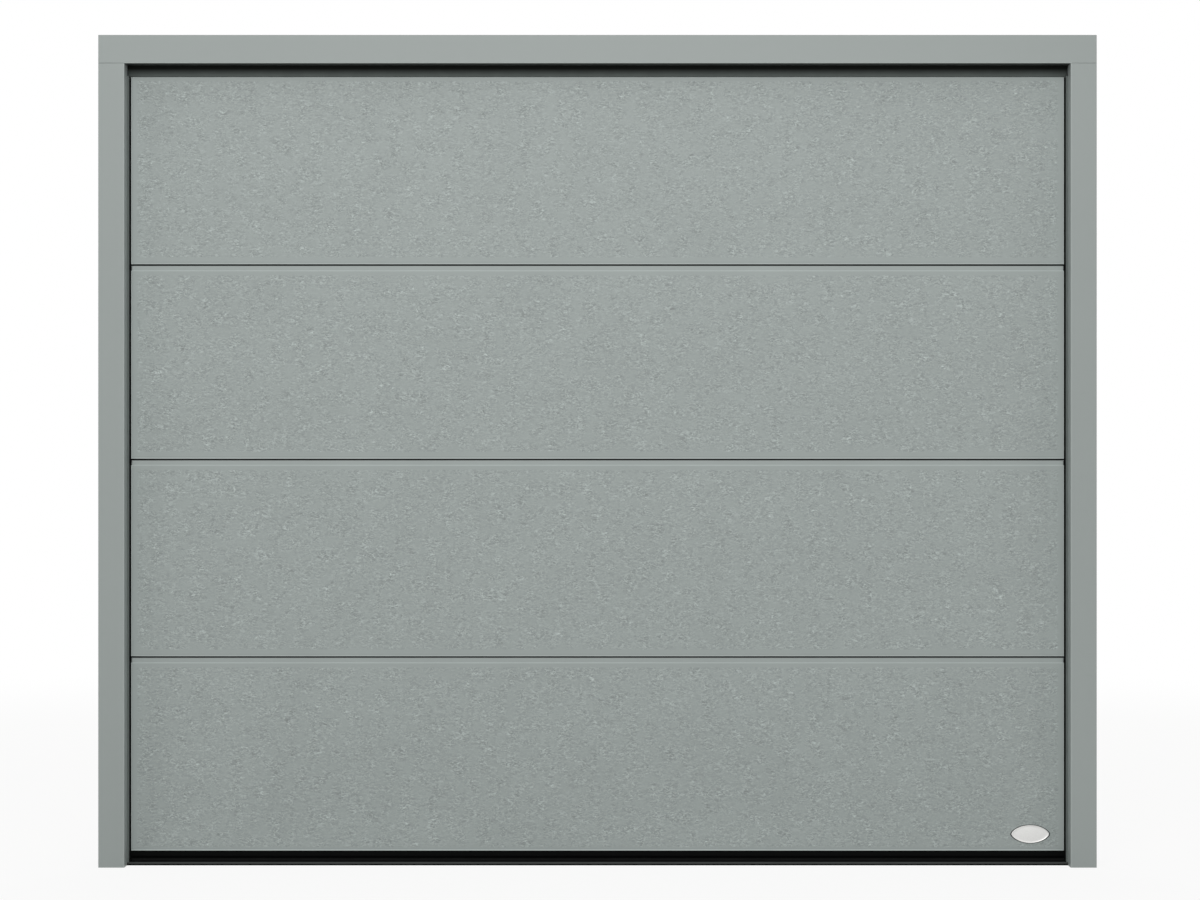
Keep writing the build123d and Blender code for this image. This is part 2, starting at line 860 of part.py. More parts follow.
def ceiling_hangers():
    """Hangers on both sides, in the middle and near the rear end of the tracks."""
    hangers = []
    for place in hanger_places:
        hangers += both_sides(ceiling_hanger(place))
    return hangers


def mirrored_pair(name, right_piece):
    """Left and right nodes from the piece of the right side."""
    return {name + "_left": left_of(right_piece), name + "_right": right_piece}


def all_pieces():
    """Every node of the door, by name."""
    pieces = {}
    pieces.update(mirrored_pair("jamb", jamb()))
    pieces["header"] = header()
    pieces.update(mirrored_pair("side_seal", side_seal()))
    pieces["top_seal"] = top_seal()
    pieces["threshold_strip"] = threshold_strip()
    pieces["bottom_section"] = section(leaf_bottom, joint_1, False, True)
    pieces["lower_middle_section"] = section(joint_1, joint_2, True, True)
    pieces["upper_middle_section"] = section(joint_2, joint_3, True, True)
    pieces["top_section"] = section(joint_3, leaf_top, True, False)
    pieces["end_caps"] = Compound(children=end_caps())
    pieces["bottom_rail"] = bottom_rail()
    pieces["bottom_seal"] = bottom_seal()
    pieces["badge_plate"] = badge()
    side_hinges = Compound(children=[side_hinge(joint).solids()[0] for joint in joints])
    pieces.update(mirrored_pair("side_hinges", side_hinges))
    pieces["centre_hinges"] = Compound(children=centre_hinges())
    pieces.update(mirrored_pair("bottom_bracket", bottom_bracket()))
    pieces.update(mirrored_pair("top_bracket", top_bracket()))
    pieces["roller_wheels"] = Compound(children=rollers(roller_wheel))
    pieces["roller_stems"] = Compound(children=rollers(roller_stem))
    pieces.update(mirrored_pair("vertical_track", vertical_track()))
    pieces.update(mirrored_pair("curved_track", curved_track()))
    pieces.update(mirrored_pair("lower_track", lower_track()))
    pieces.update(mirrored_pair("upper_track", upper_track()))
    pieces.update(mirrored_pair("corner_plate", corner_plate()))
    pieces["cable_pulleys"] = Compound(children=both_sides(pulley()))
    pieces.update(mirrored_pair("lift_cable", lift_cable()))
    pieces["cable_drums"] = Compound(children=both_sides(drum()))
    pieces["end_bearing_plates"] = Compound(children=both_sides(end_bearing_plate()))
    pieces["spring_shaft"] = spring_shaft()
    pieces["torsion_springs"] = Compound(children=both_sides(torsion_spring()))
    pieces["spring_cones"] = Compound(children=spring_cones())
    pieces["centre_bracket"] = centre_bracket()
    pieces["rear_crossbar"] = rear_crossbar()
    pieces["ceiling_hangers"] = Compound(children=ceiling_hangers())
    return pieces


os.makedirs("parts", exist_ok=True)
for node, piece in all_pieces().items():
    export_step(piece, "parts/" + node + ".step")
    print(node, round(piece.volume / 1000), "cm3")
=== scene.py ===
# %% [markdown]
# # A sectional garage door, dressed in Blender
# The door is four insulated steel sections in a folded steel surround. Behind it are the tracks,
# rollers, cables and the spring shaft that carry it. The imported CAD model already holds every
# piece at its real size, so this lesson gives the pieces their finishes and adds what is too fine
# for CAD: rolled edges, spring coils, cable strands, drum grooves, screws, rivets and a bare plate.

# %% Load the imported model
import json
import math
from itertools import product

import bmesh
import bpy
from mathutils import Matrix, Vector


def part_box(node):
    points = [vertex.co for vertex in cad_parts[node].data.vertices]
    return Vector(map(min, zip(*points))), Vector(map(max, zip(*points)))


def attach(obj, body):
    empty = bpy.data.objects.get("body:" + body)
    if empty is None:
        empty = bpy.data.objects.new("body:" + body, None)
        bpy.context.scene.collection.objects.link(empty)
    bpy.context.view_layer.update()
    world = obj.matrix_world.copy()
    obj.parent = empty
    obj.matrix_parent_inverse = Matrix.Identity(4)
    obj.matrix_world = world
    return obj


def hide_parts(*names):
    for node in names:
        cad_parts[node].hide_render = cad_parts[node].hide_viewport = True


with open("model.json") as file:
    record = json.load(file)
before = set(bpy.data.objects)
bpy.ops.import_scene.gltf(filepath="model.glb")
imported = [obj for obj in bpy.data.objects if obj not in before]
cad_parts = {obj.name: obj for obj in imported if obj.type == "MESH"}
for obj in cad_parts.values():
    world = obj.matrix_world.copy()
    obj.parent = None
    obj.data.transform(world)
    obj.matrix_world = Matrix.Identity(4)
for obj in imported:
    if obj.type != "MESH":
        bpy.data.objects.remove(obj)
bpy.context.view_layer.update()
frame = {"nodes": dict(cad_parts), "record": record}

nodes = frame["nodes"]
MM = 0.001

# %% [markdown]
# ## Where things are
# The frame tells where each node is, so no place is written twice. The leaf's faces, the joints
# between its sections and the line of the spring shaft are read from the nodes' boxes.

# %% Read the places that the looks depend on
JOINT_GAP = 4 * MM


def middle(name):
    """The middle of a node's box, as x, y and z."""
    return [(low + high) / 2 for low, high in zip(*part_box(name))]


leaf_low, leaf_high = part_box("bottom_section")[0].z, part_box("top_section")[1].z
leaf_half, leaf_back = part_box("top_section")[1].x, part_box("top_section")[1].y
opening_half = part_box("jamb_right")[0].x
header_low, frame_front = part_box("header")[0].z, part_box("header")[0].y
joint_heights = [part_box(name)[0].z - JOINT_GAP / 2
                 for name in ("lower_middle_section", "upper_middle_section", "top_section")]
shaft_y, shaft_z = middle("spring_shaft")[1:]
print("shaft at y", round(shaft_y, 4), "z", round(shaft_z, 4))

# %% [markdown]
# ## Camera
# The photograph was taken almost straight on: the joints are level and both reveals equally wide.
# The widths of the surround and of the leaf behind it give a camera seven metres in front, at
# 1.1 m, and a long lens fits the door in the frame with no shift.

# %% Camera
CAMERA_DISTANCE, CAMERA_SIDE, CAMERA_HEIGHT, LENS = 7.0, 0.0066, 1.1033, 79.5
scene = bpy.context.scene
camera = bpy.data.objects.new("camera", bpy.data.cameras.new("camera"))
camera.data.lens = LENS
camera.data.sensor_width = 36
camera.data.clip_end = 200
camera.location = (CAMERA_SIDE, frame_front - CAMERA_DISTANCE, CAMERA_HEIGHT)
camera.rotation_euler = (math.radians(90), 0, 0)
scene.collection.objects.link(camera)
scene.camera = camera
scene.view_settings.view_transform = "Standard"
print("camera", [round(v, 3) for v in camera.location], LENS, "mm")

# %% [markdown]
# ## Colours and nodes
# A paint chip or a photograph gives a colour as an sRGB hex value, and Blender's sockets want
# linear light, so one function turns one into the other. A second small function adds a node with
# its settings and links, in a shader tree or in a geometry tree. Values go to the node's sockets
# in their order, or by name from a dictionary. Where a value is another node, the socket is linked
# to its first output. Kinds go without their prefix, and the kind of a Math node is followed by
# its operation. Every finish starts from an empty tree and ends in the same shader, with its
# relief as a bump.

# %% Helpers for node trees
SMOOTH = {"interpolation_type": "SMOOTHSTEP"}
PREFIXES = ("ShaderNode", "GeometryNode", "FunctionNode", "Node")


def linear(hex_colour):
    """An sRGB hex colour as linear red, green, blue and alpha."""
    values = [int(hex_colour[i:i + 2], 16) / 255 for i in (1, 3, 5)]
    return [v / 12.92 if v <= 0.04045 else ((v + 0.055) / 1.055) ** 2.4 for v in values] + [1.0]


def add(tree, kind, *values, **properties):
    """Adds a node with its properties, and sets or links its sockets, in order or by name."""
    kind, _, operation = kind.partition(" ")
    node = tree.nodes.new(next(prefix + kind for prefix in PREFIXES if hasattr(bpy.types, prefix + kind)))
    if operation:
        node.operation = operation
    for name, value in properties.items():
        setattr(node, name, value)
    sockets = {}
    for place, value in enumerate(values):
        sockets.update(value if isinstance(value, dict) else {place: value})
    for name, value in sockets.items():
        sources = value if isinstance(value, list) else [value]
        if not isinstance(sources[0], (bpy.types.Node, bpy.types.NodeSocket)):
            node.inputs[name].default_value = value
            continue
        for source in sources:
            output = source.outputs[0] if isinstance(source, bpy.types.Node) else source
            tree.links.new(output, node.inputs[name])
    return node


def empty_tree(owner):
    """Empties the tree of a material or a world and returns it."""
    owner.use_nodes = True
    owner.node_tree.nodes.clear()
    return owner.node_tree


def start_finish(name):
    """A new material, its empty tree, and the place of each point on its piece."""
    material = bpy.data.materials.new(name)
    tree = empty_tree(material)
    return material, tree, add(tree, "TexCoord").outputs["Object"]


def end_finish(tree, colour, relief, strength, depth, others):
    """Ends a finish: a relief of some depth as its bump, the shader and the output."""
    bump = add(tree, "Bump", {"Strength": strength, "Distance": depth, "Height": relief})
    shader = add(tree, "BsdfPrincipled", {"Base Color": colour, "Normal": bump, **others})
    add(tree, "OutputMaterial", shader)


# %% [markdown]
# ## Light
# The picture is evenly lit from the front, a little from above and from the left: the leaf is
# slightly lighter at the top, and the reveal under the header is the darkest place. One large soft
# lamp gives that, a second lights the gear behind, and the world fills in. Camera and mirror rays
# see the world as plain white, because the photograph has no background.

# %% World and lamps
AMBIENT = 0.50


def softbox(name, place, target, power, width=5.0, height=3.0):
    """A rectangular area lamp that looks at a target."""
    data = bpy.data.lights.new(name, "AREA")
    data.shape = "RECTANGLE"
    data.size, data.size_y, data.energy = width, height, power
    lamp = bpy.data.objects.new(name, data)
    lamp.location = place
    lamp.rotation_euler = (Vector(target) - Vector(place)).to_track_quat("-Z", "Y").to_euler()
    scene.collection.objects.link(lamp)


softbox("front_softbox", (-0.35, -6.5, 4.4), (0, 0, 1.2), 206)
softbox("rear_softbox", (0, 7.5, 4.5), (0, 1.2, 1.2), 170)

world = bpy.data.worlds.new("studio")
scene.world = world
tree = empty_tree(world)
path = add(tree, "LightPath").outputs
mirror = add(tree, "Math MAXIMUM", path["Is Glossy Ray"], path["Is Transmission Ray"])
seen = add(tree, "Math MAXIMUM", path["Is Camera Ray"], mirror)
strength = add(tree, "MapRange", seen, 0, 1, AMBIENT)
sky = add(tree, "Background", (1, 1, 1, 1), strength)
add(tree, "OutputWorld", sky)
print("ambient", AMBIENT)

# %% [markdown]
# ## Floor
# The floor only catches the door's soft shadow. Close to the door the camera still sees an eighth
# of its shading, and farther away it turns into the plain white of the background, so that no
# horizon shows.

# %% Floor
FLOOR_HALF = 40.0
SHADOW_SHARE = 0.12
FADE_MIDDLE, FADE_START, FADE_END = (0, 1.3, 0), 3.0, 5.5

floor_mesh = bpy.data.meshes.new("floor")
corners = [(x * FLOOR_HALF, y * FLOOR_HALF, 0) for x, y in ((-1, -1), (1, -1), (1, 1), (-1, 1))]
floor_mesh.from_pydata(corners, [], [(0, 1, 2, 3)])
floor = bpy.data.objects.new("floor", floor_mesh)
scene.collection.objects.link(floor)
floor_finish, tree, place = start_finish("pale_studio_floor")
path = add(tree, "LightPath").outputs
seen = add(tree, "Math MAXIMUM", path["Is Camera Ray"], path["Is Glossy Ray"])
away = add(tree, "VectorMath DISTANCE", place, FADE_MIDDLE)
white = add(tree, "MapRange", away.outputs["Value"], FADE_START, FADE_END, 1 - SHADOW_SHARE, **SMOOTH)
share = add(tree, "Math MULTIPLY", seen, white)
matt = add(tree, "BsdfDiffuse", linear("#F2F2F0"))
glow = add(tree, "Emission", (1, 1, 1, 1), 1.0)
both = add(tree, "MixShader", share, matt, glow)
add(tree, "OutputMaterial", both)
floor_mesh.materials.append(floor_finish)

# %% [markdown]
# ## Powder-coated steel
# The surround is folded sheet, coated with powder and baked. Powder flows to an even satin film
# with a very fine orange peel, so the eye sees one calm colour and soft highlights. The slightly
# paler line along each bend at the opening is a painted highlight. The hairline where the header
# stands on a jamb is too thin to model and is drawn in the colour. The returns into the opening
# are darkened with painted shade, and the one under the header is painted nearly black as the
# header's shadow.

# %% Surround
PEEL_GRAIN = 2 * MM
SEAM_WIDTH, SEAM_TONE, SEAM_START, SEAM_FULL = 1.2 * MM, 0.84, 15 * MM, 40 * MM
# a painted highlight on the bends, painted shade on the returns and nearly black under the header
BEND_LINE, BEND_HIGHLIGHT_TONE = 4 * MM, 1.15
RETURN_SHADE_TONE, HEADER_SHADOW_TONE = 0.84, 0.10


def powder_coat(name, hex_colour):
    """Satin powder coat with orange peel, a painted highlight on the bends at the opening, painted shade on
    the returns and a seam under the header.
    """
    material, tree, place = start_finish(name)
    parts = add(tree, "SeparateXYZ", place).outputs
    width = add(tree, "Math ABSOLUTE", parts["X"])
    peel = add(tree, "TexNoise", {"Scale": 1 / PEEL_GRAIN, "Vector": place})
    cloud = add(tree, "TexNoise", {"Scale": 1.3, "Detail": 1.0, "Vector": place})
    tone = add(tree, "MapRange", cloud, 0, 1, 0.96, 1.04)
    above = add(tree, "Math SUBTRACT", parts["Z"], header_low)
    away = add(tree, "Math ABSOLUTE", above)
    line = add(tree, "MapRange", away, 0, SEAM_WIDTH, 1.0, 0.0)
    reach = add(tree, "MapRange", width, opening_half + SEAM_START, opening_half + SEAM_FULL)
    seam = add(tree, "Math MULTIPLY", line, reach)
    dark = add(tree, "MapRange", seam, 0, 1, 1.0, SEAM_TONE)
    side = add(tree, "Math SUBTRACT", width, opening_half)
    inside = add(tree, "Math MAXIMUM", side, above)
    # a painted highlight along the bends at the opening
    bend_highlight = add(tree, "MapRange", inside, BEND_LINE * 0.4, BEND_LINE, BEND_HIGHLIGHT_TONE, **SMOOTH)
    # painted shade on the returns into the opening, nearly black under the header
    behind = add(tree, "MapRange", parts["Y"], frame_front + 1 * MM, frame_front + 3 * MM)
    flush = add(tree, "MapRange", inside, 0.6 * MM, 0.2 * MM)
    reveal = add(tree, "Math MULTIPLY", behind, flush)
    return_shade = add(tree, "MapRange", above, -1.5 * MM, -0.5 * MM, RETURN_SHADE_TONE, HEADER_SHADOW_TONE)
    reveal_shade = add(tree, "MapRange", reveal, 0, 1, 1.0, return_shade)
    for factor in (dark, bend_highlight, reveal_shade):
        tone = add(tree, "Math MULTIPLY", tone, factor)
    tint = add(tree, "VectorMath SCALE", linear(hex_colour)[:3], {"Scale": tone})
    rough = add(tree, "MapRange", peel, 0, 1, 0.42, 0.5)
    end_finish(tree, tint, peel, 0.25, 0.05 * MM, {"Roughness": rough})
    return material


surround_paint = powder_coat("powder_coated_steel", "#979E9C")

# %% [markdown]
# ## Embossed coil-coated steel
# The skins of the leaf are painted in the coil, rolled with a fine irregular emboss that hides
# scratches, and then folded. The rolling leaves worm-like grains of 5 to 8 mm, in patches that are
# deeper or shallower: a noise gives the grains, and the level lines of a wider one the thin curved
# strokes between them. The emboss stops before the folds, so each section has smooth margins
# beside its joints and ends. Pale lines of painted highlight and thin lines of painted shade run
# along the bends, and paler bands of painted light beside the ends and above the foot make up for
# the shade of the reveals and the floor. Inside a joint only the dark gasket shows. The inner skin
# is off-white with a fainter emboss. All of this is a fraction of a millimetre deep, so it is bump
# and tone, masked by the distance to the edges; the tone is painted shade in the hollows of the
# emboss and painted light on its ridges.

# %% Masks for the margins of the sections
END_MARGIN, END_FADE = 12 * MM, 8 * MM
ABOVE_JOINT, BELOW_JOINT, JOINT_FADE = 17 * MM, 24 * MM, 7 * MM
ABOVE_FOOT, BELOW_TOP = 8 * MM, 9 * MM
# painted highlight lines (strength above 0) and painted shade lines (below 0) at the folds,
# as (middle above the joint in mm, half width in mm, strength)
JOINT_LIGHT_LINES = [(7.6, 1.2, -0.35), (4.0, 1.6, 0.8), (-3.4, 1.6, -0.3), (-9.2, 4.2, -0.15), (-15.2, 1.6, 1.1)]
TOP_LIGHT_LINES = [(0.0, 4.6, 1.0)]
FOOT_SHADE, SHADE_HEIGHT, SHADE_HALF = 0.5, 6.5 * MM, 1.2 * MM


def joint_masks(tree, parts):
    """The embossed field from 0 to 1, and the strength of the painted highlight and shade at the folds, from
    the distances to the edges.
    """
    width = add(tree, "Math ABSOLUTE", parts["X"])
    field = add(tree, "MapRange", width, leaf_half - END_MARGIN, leaf_half - END_MARGIN - END_FADE, **SMOOTH)
    foot = add(tree, "Math SUBTRACT", parts["Z"], leaf_low)
    # painted highlights: a pale line at each end, a paler band beside it against the reveal's shade,
    # a pale line at the foot and a paler band above it against the floor's shade
    ramps = [(width, "SMOOTHSTEP", leaf_half - 2.8 * MM, leaf_half - 2.0 * MM, 2.3),
             (width, "LINEAR", leaf_half - 55 * MM, leaf_half - 5 * MM, 0.65),
             (foot, "LINEAR", 5.2 * MM, 4.2 * MM, 1.7),
             (foot, "LINEAR", 120 * MM, 10 * MM, 0.25)]
    painted_light = None
    for distance, shape, start, end, strength in ramps:
        ramp = add(tree, "MapRange", distance, start, end, 0, strength, interpolation_type=shape)
        painted_light = add(tree, "Math MAXIMUM", painted_light, ramp) if painted_light else ramp
    # a thin line of painted shade just above the foot
    shade = add(tree, "Math COMPARE", foot, SHADE_HEIGHT, SHADE_HALF)
    painted_light = add(tree, "Math MULTIPLY_ADD", shade, -FOOT_SHADE, painted_light)
    seams = [(height, BELOW_JOINT, ABOVE_JOINT, JOINT_LIGHT_LINES) for height in joint_heights]
    seams += [(leaf_low - JOINT_GAP / 2, BELOW_TOP, ABOVE_FOOT, []),
              (leaf_high + JOINT_GAP / 2, BELOW_TOP, ABOVE_FOOT, TOP_LIGHT_LINES)]
    for height, below, over, lines in seams:
        above = add(tree, "Math SUBTRACT", parts["Z"], height)
        low, high = [add(tree, "MapRange", above, way * reach, way * (reach + JOINT_FADE), **SMOOTH)
                     for way, reach in ((-1, below), (1, over))]
        clear = add(tree, "Math MAXIMUM", low, high)
        field = add(tree, "Math MULTIPLY", field, clear)
        # painted highlight and shade lines along each joint and the top
        for centre, half, strength in lines:
            line = add(tree, "Math COMPARE", above, centre * MM, half * MM)
            painted_light = add(tree, "Math MULTIPLY_ADD", line, strength, painted_light)
    return field, painted_light


# %% Skins of the leaf
EMBOSS_GRAIN, GRAIN_SHAPE, GRAIN_SHARE = 5.8 * MM, (0.58, 1.0, 1.22), 0.7
LACE_SPACING, STROKE_HALF, STROKE_SHARE = 9 * MM, 0.05, 0.2
PATCH_SIZE = 35 * MM
WAVE_LENGTH, WAVE_SHARE = 180 * MM, 0.033
# how strongly the relief is painted as light and shade outside and inside, and the strength of the painted
# lines at the folds
OUTER_EMBOSS_SHADING, INNER_EMBOSS_SHADING = 3.9, 1.26
PAINTED_LIGHT_TONE = 1.22
GASKET_START, GASKET_FULL = 2.05 * MM, 2.9 * MM


def embossed_skin(name, outer_hex, inner_hex, gasket_hex):
    """Outer skin with an irregular emboss, painted light and shade, paler inner skin, and a dark joint
    between them.
    """
    material, tree, place = start_finish(name)
    parts = add(tree, "SeparateXYZ", place).outputs
    field, painted_light = joint_masks(tree, parts)
    grain = add(tree, "Mapping", {"Scale": GRAIN_SHAPE, "Vector": place})
    worm = add(tree, "TexNoise", {"Scale": 1 / EMBOSS_GRAIN, "Detail": 2.5, "Roughness": 0.6,
                                  "Distortion": 1.1, "Vector": grain})
    patch = add(tree, "TexNoise", {"Scale": 1 / PATCH_SIZE, "Detail": 1.5, "Vector": place})
    deep = add(tree, "MapRange", patch, 0.32, 0.68, 0.2, 1.65)
    depth = add(tree, "Math MULTIPLY", field, deep)
    centred = add(tree, "Math MULTIPLY_ADD", worm, GRAIN_SHARE, -0.5 * GRAIN_SHARE)
    lace = add(tree, "TexNoise", {"Scale": 1 / LACE_SPACING, "Detail": 1.0, "Distortion": 0.8,
                                  "Vector": grain})
    aside = add(tree, "Math SUBTRACT", lace, 0.5)
    aside = add(tree, "Math ABSOLUTE", aside)
    stroke = add(tree, "MapRange", aside, STROKE_HALF, 0.0, -0.25 * STROKE_SHARE, 0.75 * STROKE_SHARE)
    worms = add(tree, "Math ADD", centred, stroke)
    relief = add(tree, "Math MULTIPLY", worms, depth)
    inner = add(tree, "MapRange", parts["Y"], leaf_back * 0.45, leaf_back * 0.55)
    emboss_shading = add(tree, "MapRange", inner, 0, 1, OUTER_EMBOSS_SHADING, INNER_EMBOSS_SHADING)
    wave = add(tree, "TexNoise", {"Scale": 1 / WAVE_LENGTH, "Detail": 1.0, "Vector": place})
    faint = add(tree, "MapRange", wave, 0, 1, -WAVE_SHARE, WAVE_SHARE)
    marks = add(tree, "Math ADD", relief, faint)
    # the relief darkens the hollows as painted shade and lightens the ridges as painted light; a faint wide
    # noise adds random tone
    tone = add(tree, "Math POWER", emboss_shading, marks)
    # the painted highlight and shade lines at the folds scale the tone
    bright = add(tree, "Math MULTIPLY_ADD", painted_light, PAINTED_LIGHT_TONE - 1, 1.0)
    tone = add(tree, "Math MULTIPLY", tone, bright)
    paint = add(tree, "Mix", {"Factor": inner, 6: linear(outer_hex), 7: linear(inner_hex)},
                data_type="RGBA")
    tint = add(tree, "VectorMath SCALE", paint.outputs[2], {"Scale": tone})
    core = add(tree, "Math PINGPONG", parts["Y"], leaf_back / 2)
    hidden = add(tree, "MapRange", core, GASKET_START, GASKET_FULL)
    colour = add(tree, "Mix", {"Factor": hidden, 6: tint, 7: linear(gasket_hex)}, data_type="RGBA")
    end_finish(tree, colour.outputs[2], relief, 0.8, 0.9 * MM, {"Roughness": 0.47})
    return material


leaf_paint = embossed_skin("embossed_coil_coated_steel", "#9AA2A0", "#D3D4CE", "#101110")

# %% [markdown]
# ## Rubber
# EPDM seals are extruded and cured: matt, nearly black, with a faint dusty bloom. The lip under the
# header is painted black at the top, as shade under the header, and greys towards its lower edge.
# The side seals are grey at the front and painted black deep in the reveal, as its shade. The foot
# of the bottom seal is a little lighter towards its lower edge, and the upper edge of the threshold
# strip's nose carries a grey line of painted highlight.

# %% Seals
BLOOM_SIZE, RUBBER_GRAIN = 40 * MM, 1.5 * MM


def epdm_rubber(name, dark_hex, pale_hex, ramps, gloss=0.05):
    """Matt rubber, its dark colour where a ramp starts and a paler grey where all of its ramps end."""
    material, tree, place = start_finish(name)
    parts = add(tree, "SeparateXYZ", place).outputs
    bloom = add(tree, "TexNoise", {"Scale": 1 / BLOOM_SIZE, "Detail": 4.0, "Vector": place})
    grain = add(tree, "TexNoise", {"Scale": 1 / RUBBER_GRAIN, "Vector": place})
    paleness = None
    for axis, dark_at, pale_at in ramps:
        ramp = add(tree, "MapRange", parts[axis], dark_at, pale_at)
        paleness = add(tree, "Math MULTIPLY", paleness, ramp) if paleness else ramp
    base = add(tree, "Mix", {"Factor": paleness, 6: linear(dark_hex), 7: linear(pale_hex)}, data_type="RGBA")
    tone = add(tree, "MapRange", bloom, 0, 1, 0.85, 1.2)
    tint = add(tree, "VectorMath SCALE", base.outputs[2], {"Scale": tone})
    rough = add(tree, "MapRange", bloom, 0, 1, 0.55, 0.75)
    end_finish(tree, tint, grain, 0.3, 0.1 * MM, {"Roughness": rough, "Specular IOR Level": gloss})
    return material


strip_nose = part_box("threshold_strip")[0].y
black_rubber = epdm_rubber("black_epdm_rubber", "#050606", "#080909", [("Y", 20 * MM, -20 * MM)])
# painted shade: dark at the top under the header, paler towards the lip's edge
lip_rubber = epdm_rubber("epdm_lip_painted_shade", "#111311", "#5B615F",
                         [("Z", leaf_high + 20 * MM, leaf_high + 4 * MM)])
# painted shade: black deep in the reveal, grey at the front
side_rubber = epdm_rubber("grey_epdm_painted_shade", "#0D0F0E", "#6A716F", [("Y", -8 * MM, -16 * MM)], 0.2)
foot_rubber = epdm_rubber("epdm_foot_paler_low", "#050606", "#292A2A", [("Z", 16.5 * MM, 12.5 * MM)])
# painted highlight: a grey line on the upper edge of the strip's nose
strip_rubber = epdm_rubber("epdm_strip_painted_highlight", "#0B0C0C", "#484B4A",
                           [("Z", 3.4 * MM, 5.5 * MM), ("Y", strip_nose + 12 * MM, strip_nose + 5 * MM)])

# %% [markdown]
# ## Zinc, cast and drawn metal, nylon
# Hot-dip galvanised steel shows crystals of zinc about a centimetre across, each a little lighter
# or rougher than its neighbours. Die-cast aluminium has the same kind of mottle, much finer.
# Extruded and drawn metal carries fine lines along its length, and moulded nylon is off-white and
# slightly waxy. Each starts from typical values for the metal and keeps the default IOR.

# %% Metals and nylon
SCUFF_LENGTH = 6 * MM


def crystalline_metal(name, hex_colour, crystal, roughness):
    """Metal whose surface is a mosaic of crystals of the given size."""
    material, tree, place = start_finish(name)
    warp = add(tree, "TexNoise", {"Scale": 1.3 / crystal, "Vector": place})
    shift = add(tree, "VectorMath SCALE", warp.outputs["Color"], {"Scale": crystal * 0.6})
    bent = add(tree, "VectorMath ADD", place, shift)
    cells = add(tree, "TexVoronoi", {"Scale": 1 / crystal, "Vector": bent})
    chance = add(tree, "SeparateColor", cells.outputs["Color"]).outputs
    tone = add(tree, "MapRange", chance[0], 0, 1, 0.8, 1.1)
    tint = add(tree, "VectorMath SCALE", linear(hex_colour)[:3], {"Scale": tone})
    rough = add(tree, "MapRange", chance[1], 0, 1, roughness - 0.08, roughness + 0.12)
    end_finish(tree, tint, warp, 0.15, 0.1 * MM, {"Roughness": rough, "Metallic": 1.0})
    return material


def lined_metal(name, hex_colour, roughness, line, stretch):
    """Drawn or extruded metal: fine lines of the given width, stretched along one axis."""
    material, tree, place = start_finish(name)
    along = add(tree, "Mapping", {"Scale": [factor / line for factor in stretch], "Vector": place})
    lines = add(tree, "TexNoise", {"Scale": 1.0, "Detail": 3.0, "Vector": along})
    tone = add(tree, "MapRange", lines, 0, 1, 0.86, 1.08)
    tint = add(tree, "VectorMath SCALE", linear(hex_colour)[:3], {"Scale": tone})
    rough = add(tree, "MapRange", lines, 0, 1, roughness - 0.06, roughness + 0.08)
    end_finish(tree, tint, lines, 0.2, 0.05 * MM, {"Roughness": rough, "Metallic": 1.0})
    return material


def moulded_nylon(name, hex_colour):
    """Moulded nylon: off-white, waxy, with scuffs a few millimetres long."""
    material, tree, place = start_finish(name)
    scuff = add(tree, "TexNoise", {"Scale": 1 / SCUFF_LENGTH, "Detail": 5.0, "Roughness": 0.7,
                                   "Vector": place})
    tone = add(tree, "MapRange", scuff, 0, 1, 0.88, 1.06)
    tint = add(tree, "VectorMath SCALE", linear(hex_colour)[:3], {"Scale": tone})
    end_finish(tree, tint, scuff, 0.2, 0.05 * MM,
               {"Roughness": 0.42, "Subsurface Weight": 0.05, "Subsurface Scale": 2 * MM})
    return material


zinc = crystalline_metal("galvanised_sheet_steel", "#B1B5B8", 12 * MM, 0.42)
cast_aluminium = crystalline_metal("die_cast_aluminium", "#A6A9AB", 2.5 * MM, 0.5)
rail_aluminium = lined_metal("extruded_aluminium", "#C4C6C8", 0.36, 0.8 * MM, (0.02, 1, 1))
shaft_steel = lined_metal("drawn_bright_steel", "#A8ABAE", 0.3, 0.6 * MM, (0.02, 1, 1))
spring_wire = lined_metal("oil_tempered_spring_wire", "#5F6367", 0.4, 0.7 * MM, (1, 0.3, 0.3))
cable_wire = lined_metal("zinc_plated_cable_wire", "#A0A3A6", 0.36, 0.6 * MM, (1, 0.3, 0.3))
screw_steel = lined_metal("zinc_plated_screw_steel", "#BDBFC0", 0.3, 1.2 * MM, (1, 1, 1))
plate_metal = lined_metal("satin_silver_plate", "#D8D8D6", 0.5, 2.6 * MM, (1, 1, 1))
nylon = moulded_nylon("moulded_nylon", "#DAD8D0")

# %% Give each CAD node its finish
finishes = {
    "frame_paint": surround_paint, "leaf_paint": leaf_paint, "seal_rubber": black_rubber,
    "side_seal_rubber": side_rubber, "galvanised_steel": zinc, "rail_aluminium": rail_aluminium,
    "badge_metal": plate_metal, "roller_nylon": nylon, "spring_steel": spring_wire,
    "cast_aluminium": cast_aluminium, "shaft_steel": shaft_steel, "cable_steel": cable_wire,
}
own_finish = {"top_seal": lip_rubber, "threshold_strip": strip_rubber, "bottom_seal": foot_rubber}
for row in frame["record"]["subparts"]:
    slots = nodes[row["node"]].data.materials
    slots.clear()
    slots.append(own_finish.get(row["node"], finishes[row["material_slot"]]))

# %% [markdown]
# ## Rolled edges, grooves and ledges of the sections
# A roll former bends the skin over a small radius, so no section has a sharp edge, while the CAD
# solids are sharp. A copy of each is merged and cleaned, and only the edges around its front face
# are bevelled by 1 mm, which keeps the sizes and gives the light something to run along. The same
# rollers press level grooves into the inner skin, which stiffen it: 5 mm wide, 0.6 mm deep and
# 24 mm apart. Under each joint they set the outer skin back by half a millimetre, and from that
# ledge it slopes to the joint. Flat faces stay flat shaded, so that no face looks like a cushion.

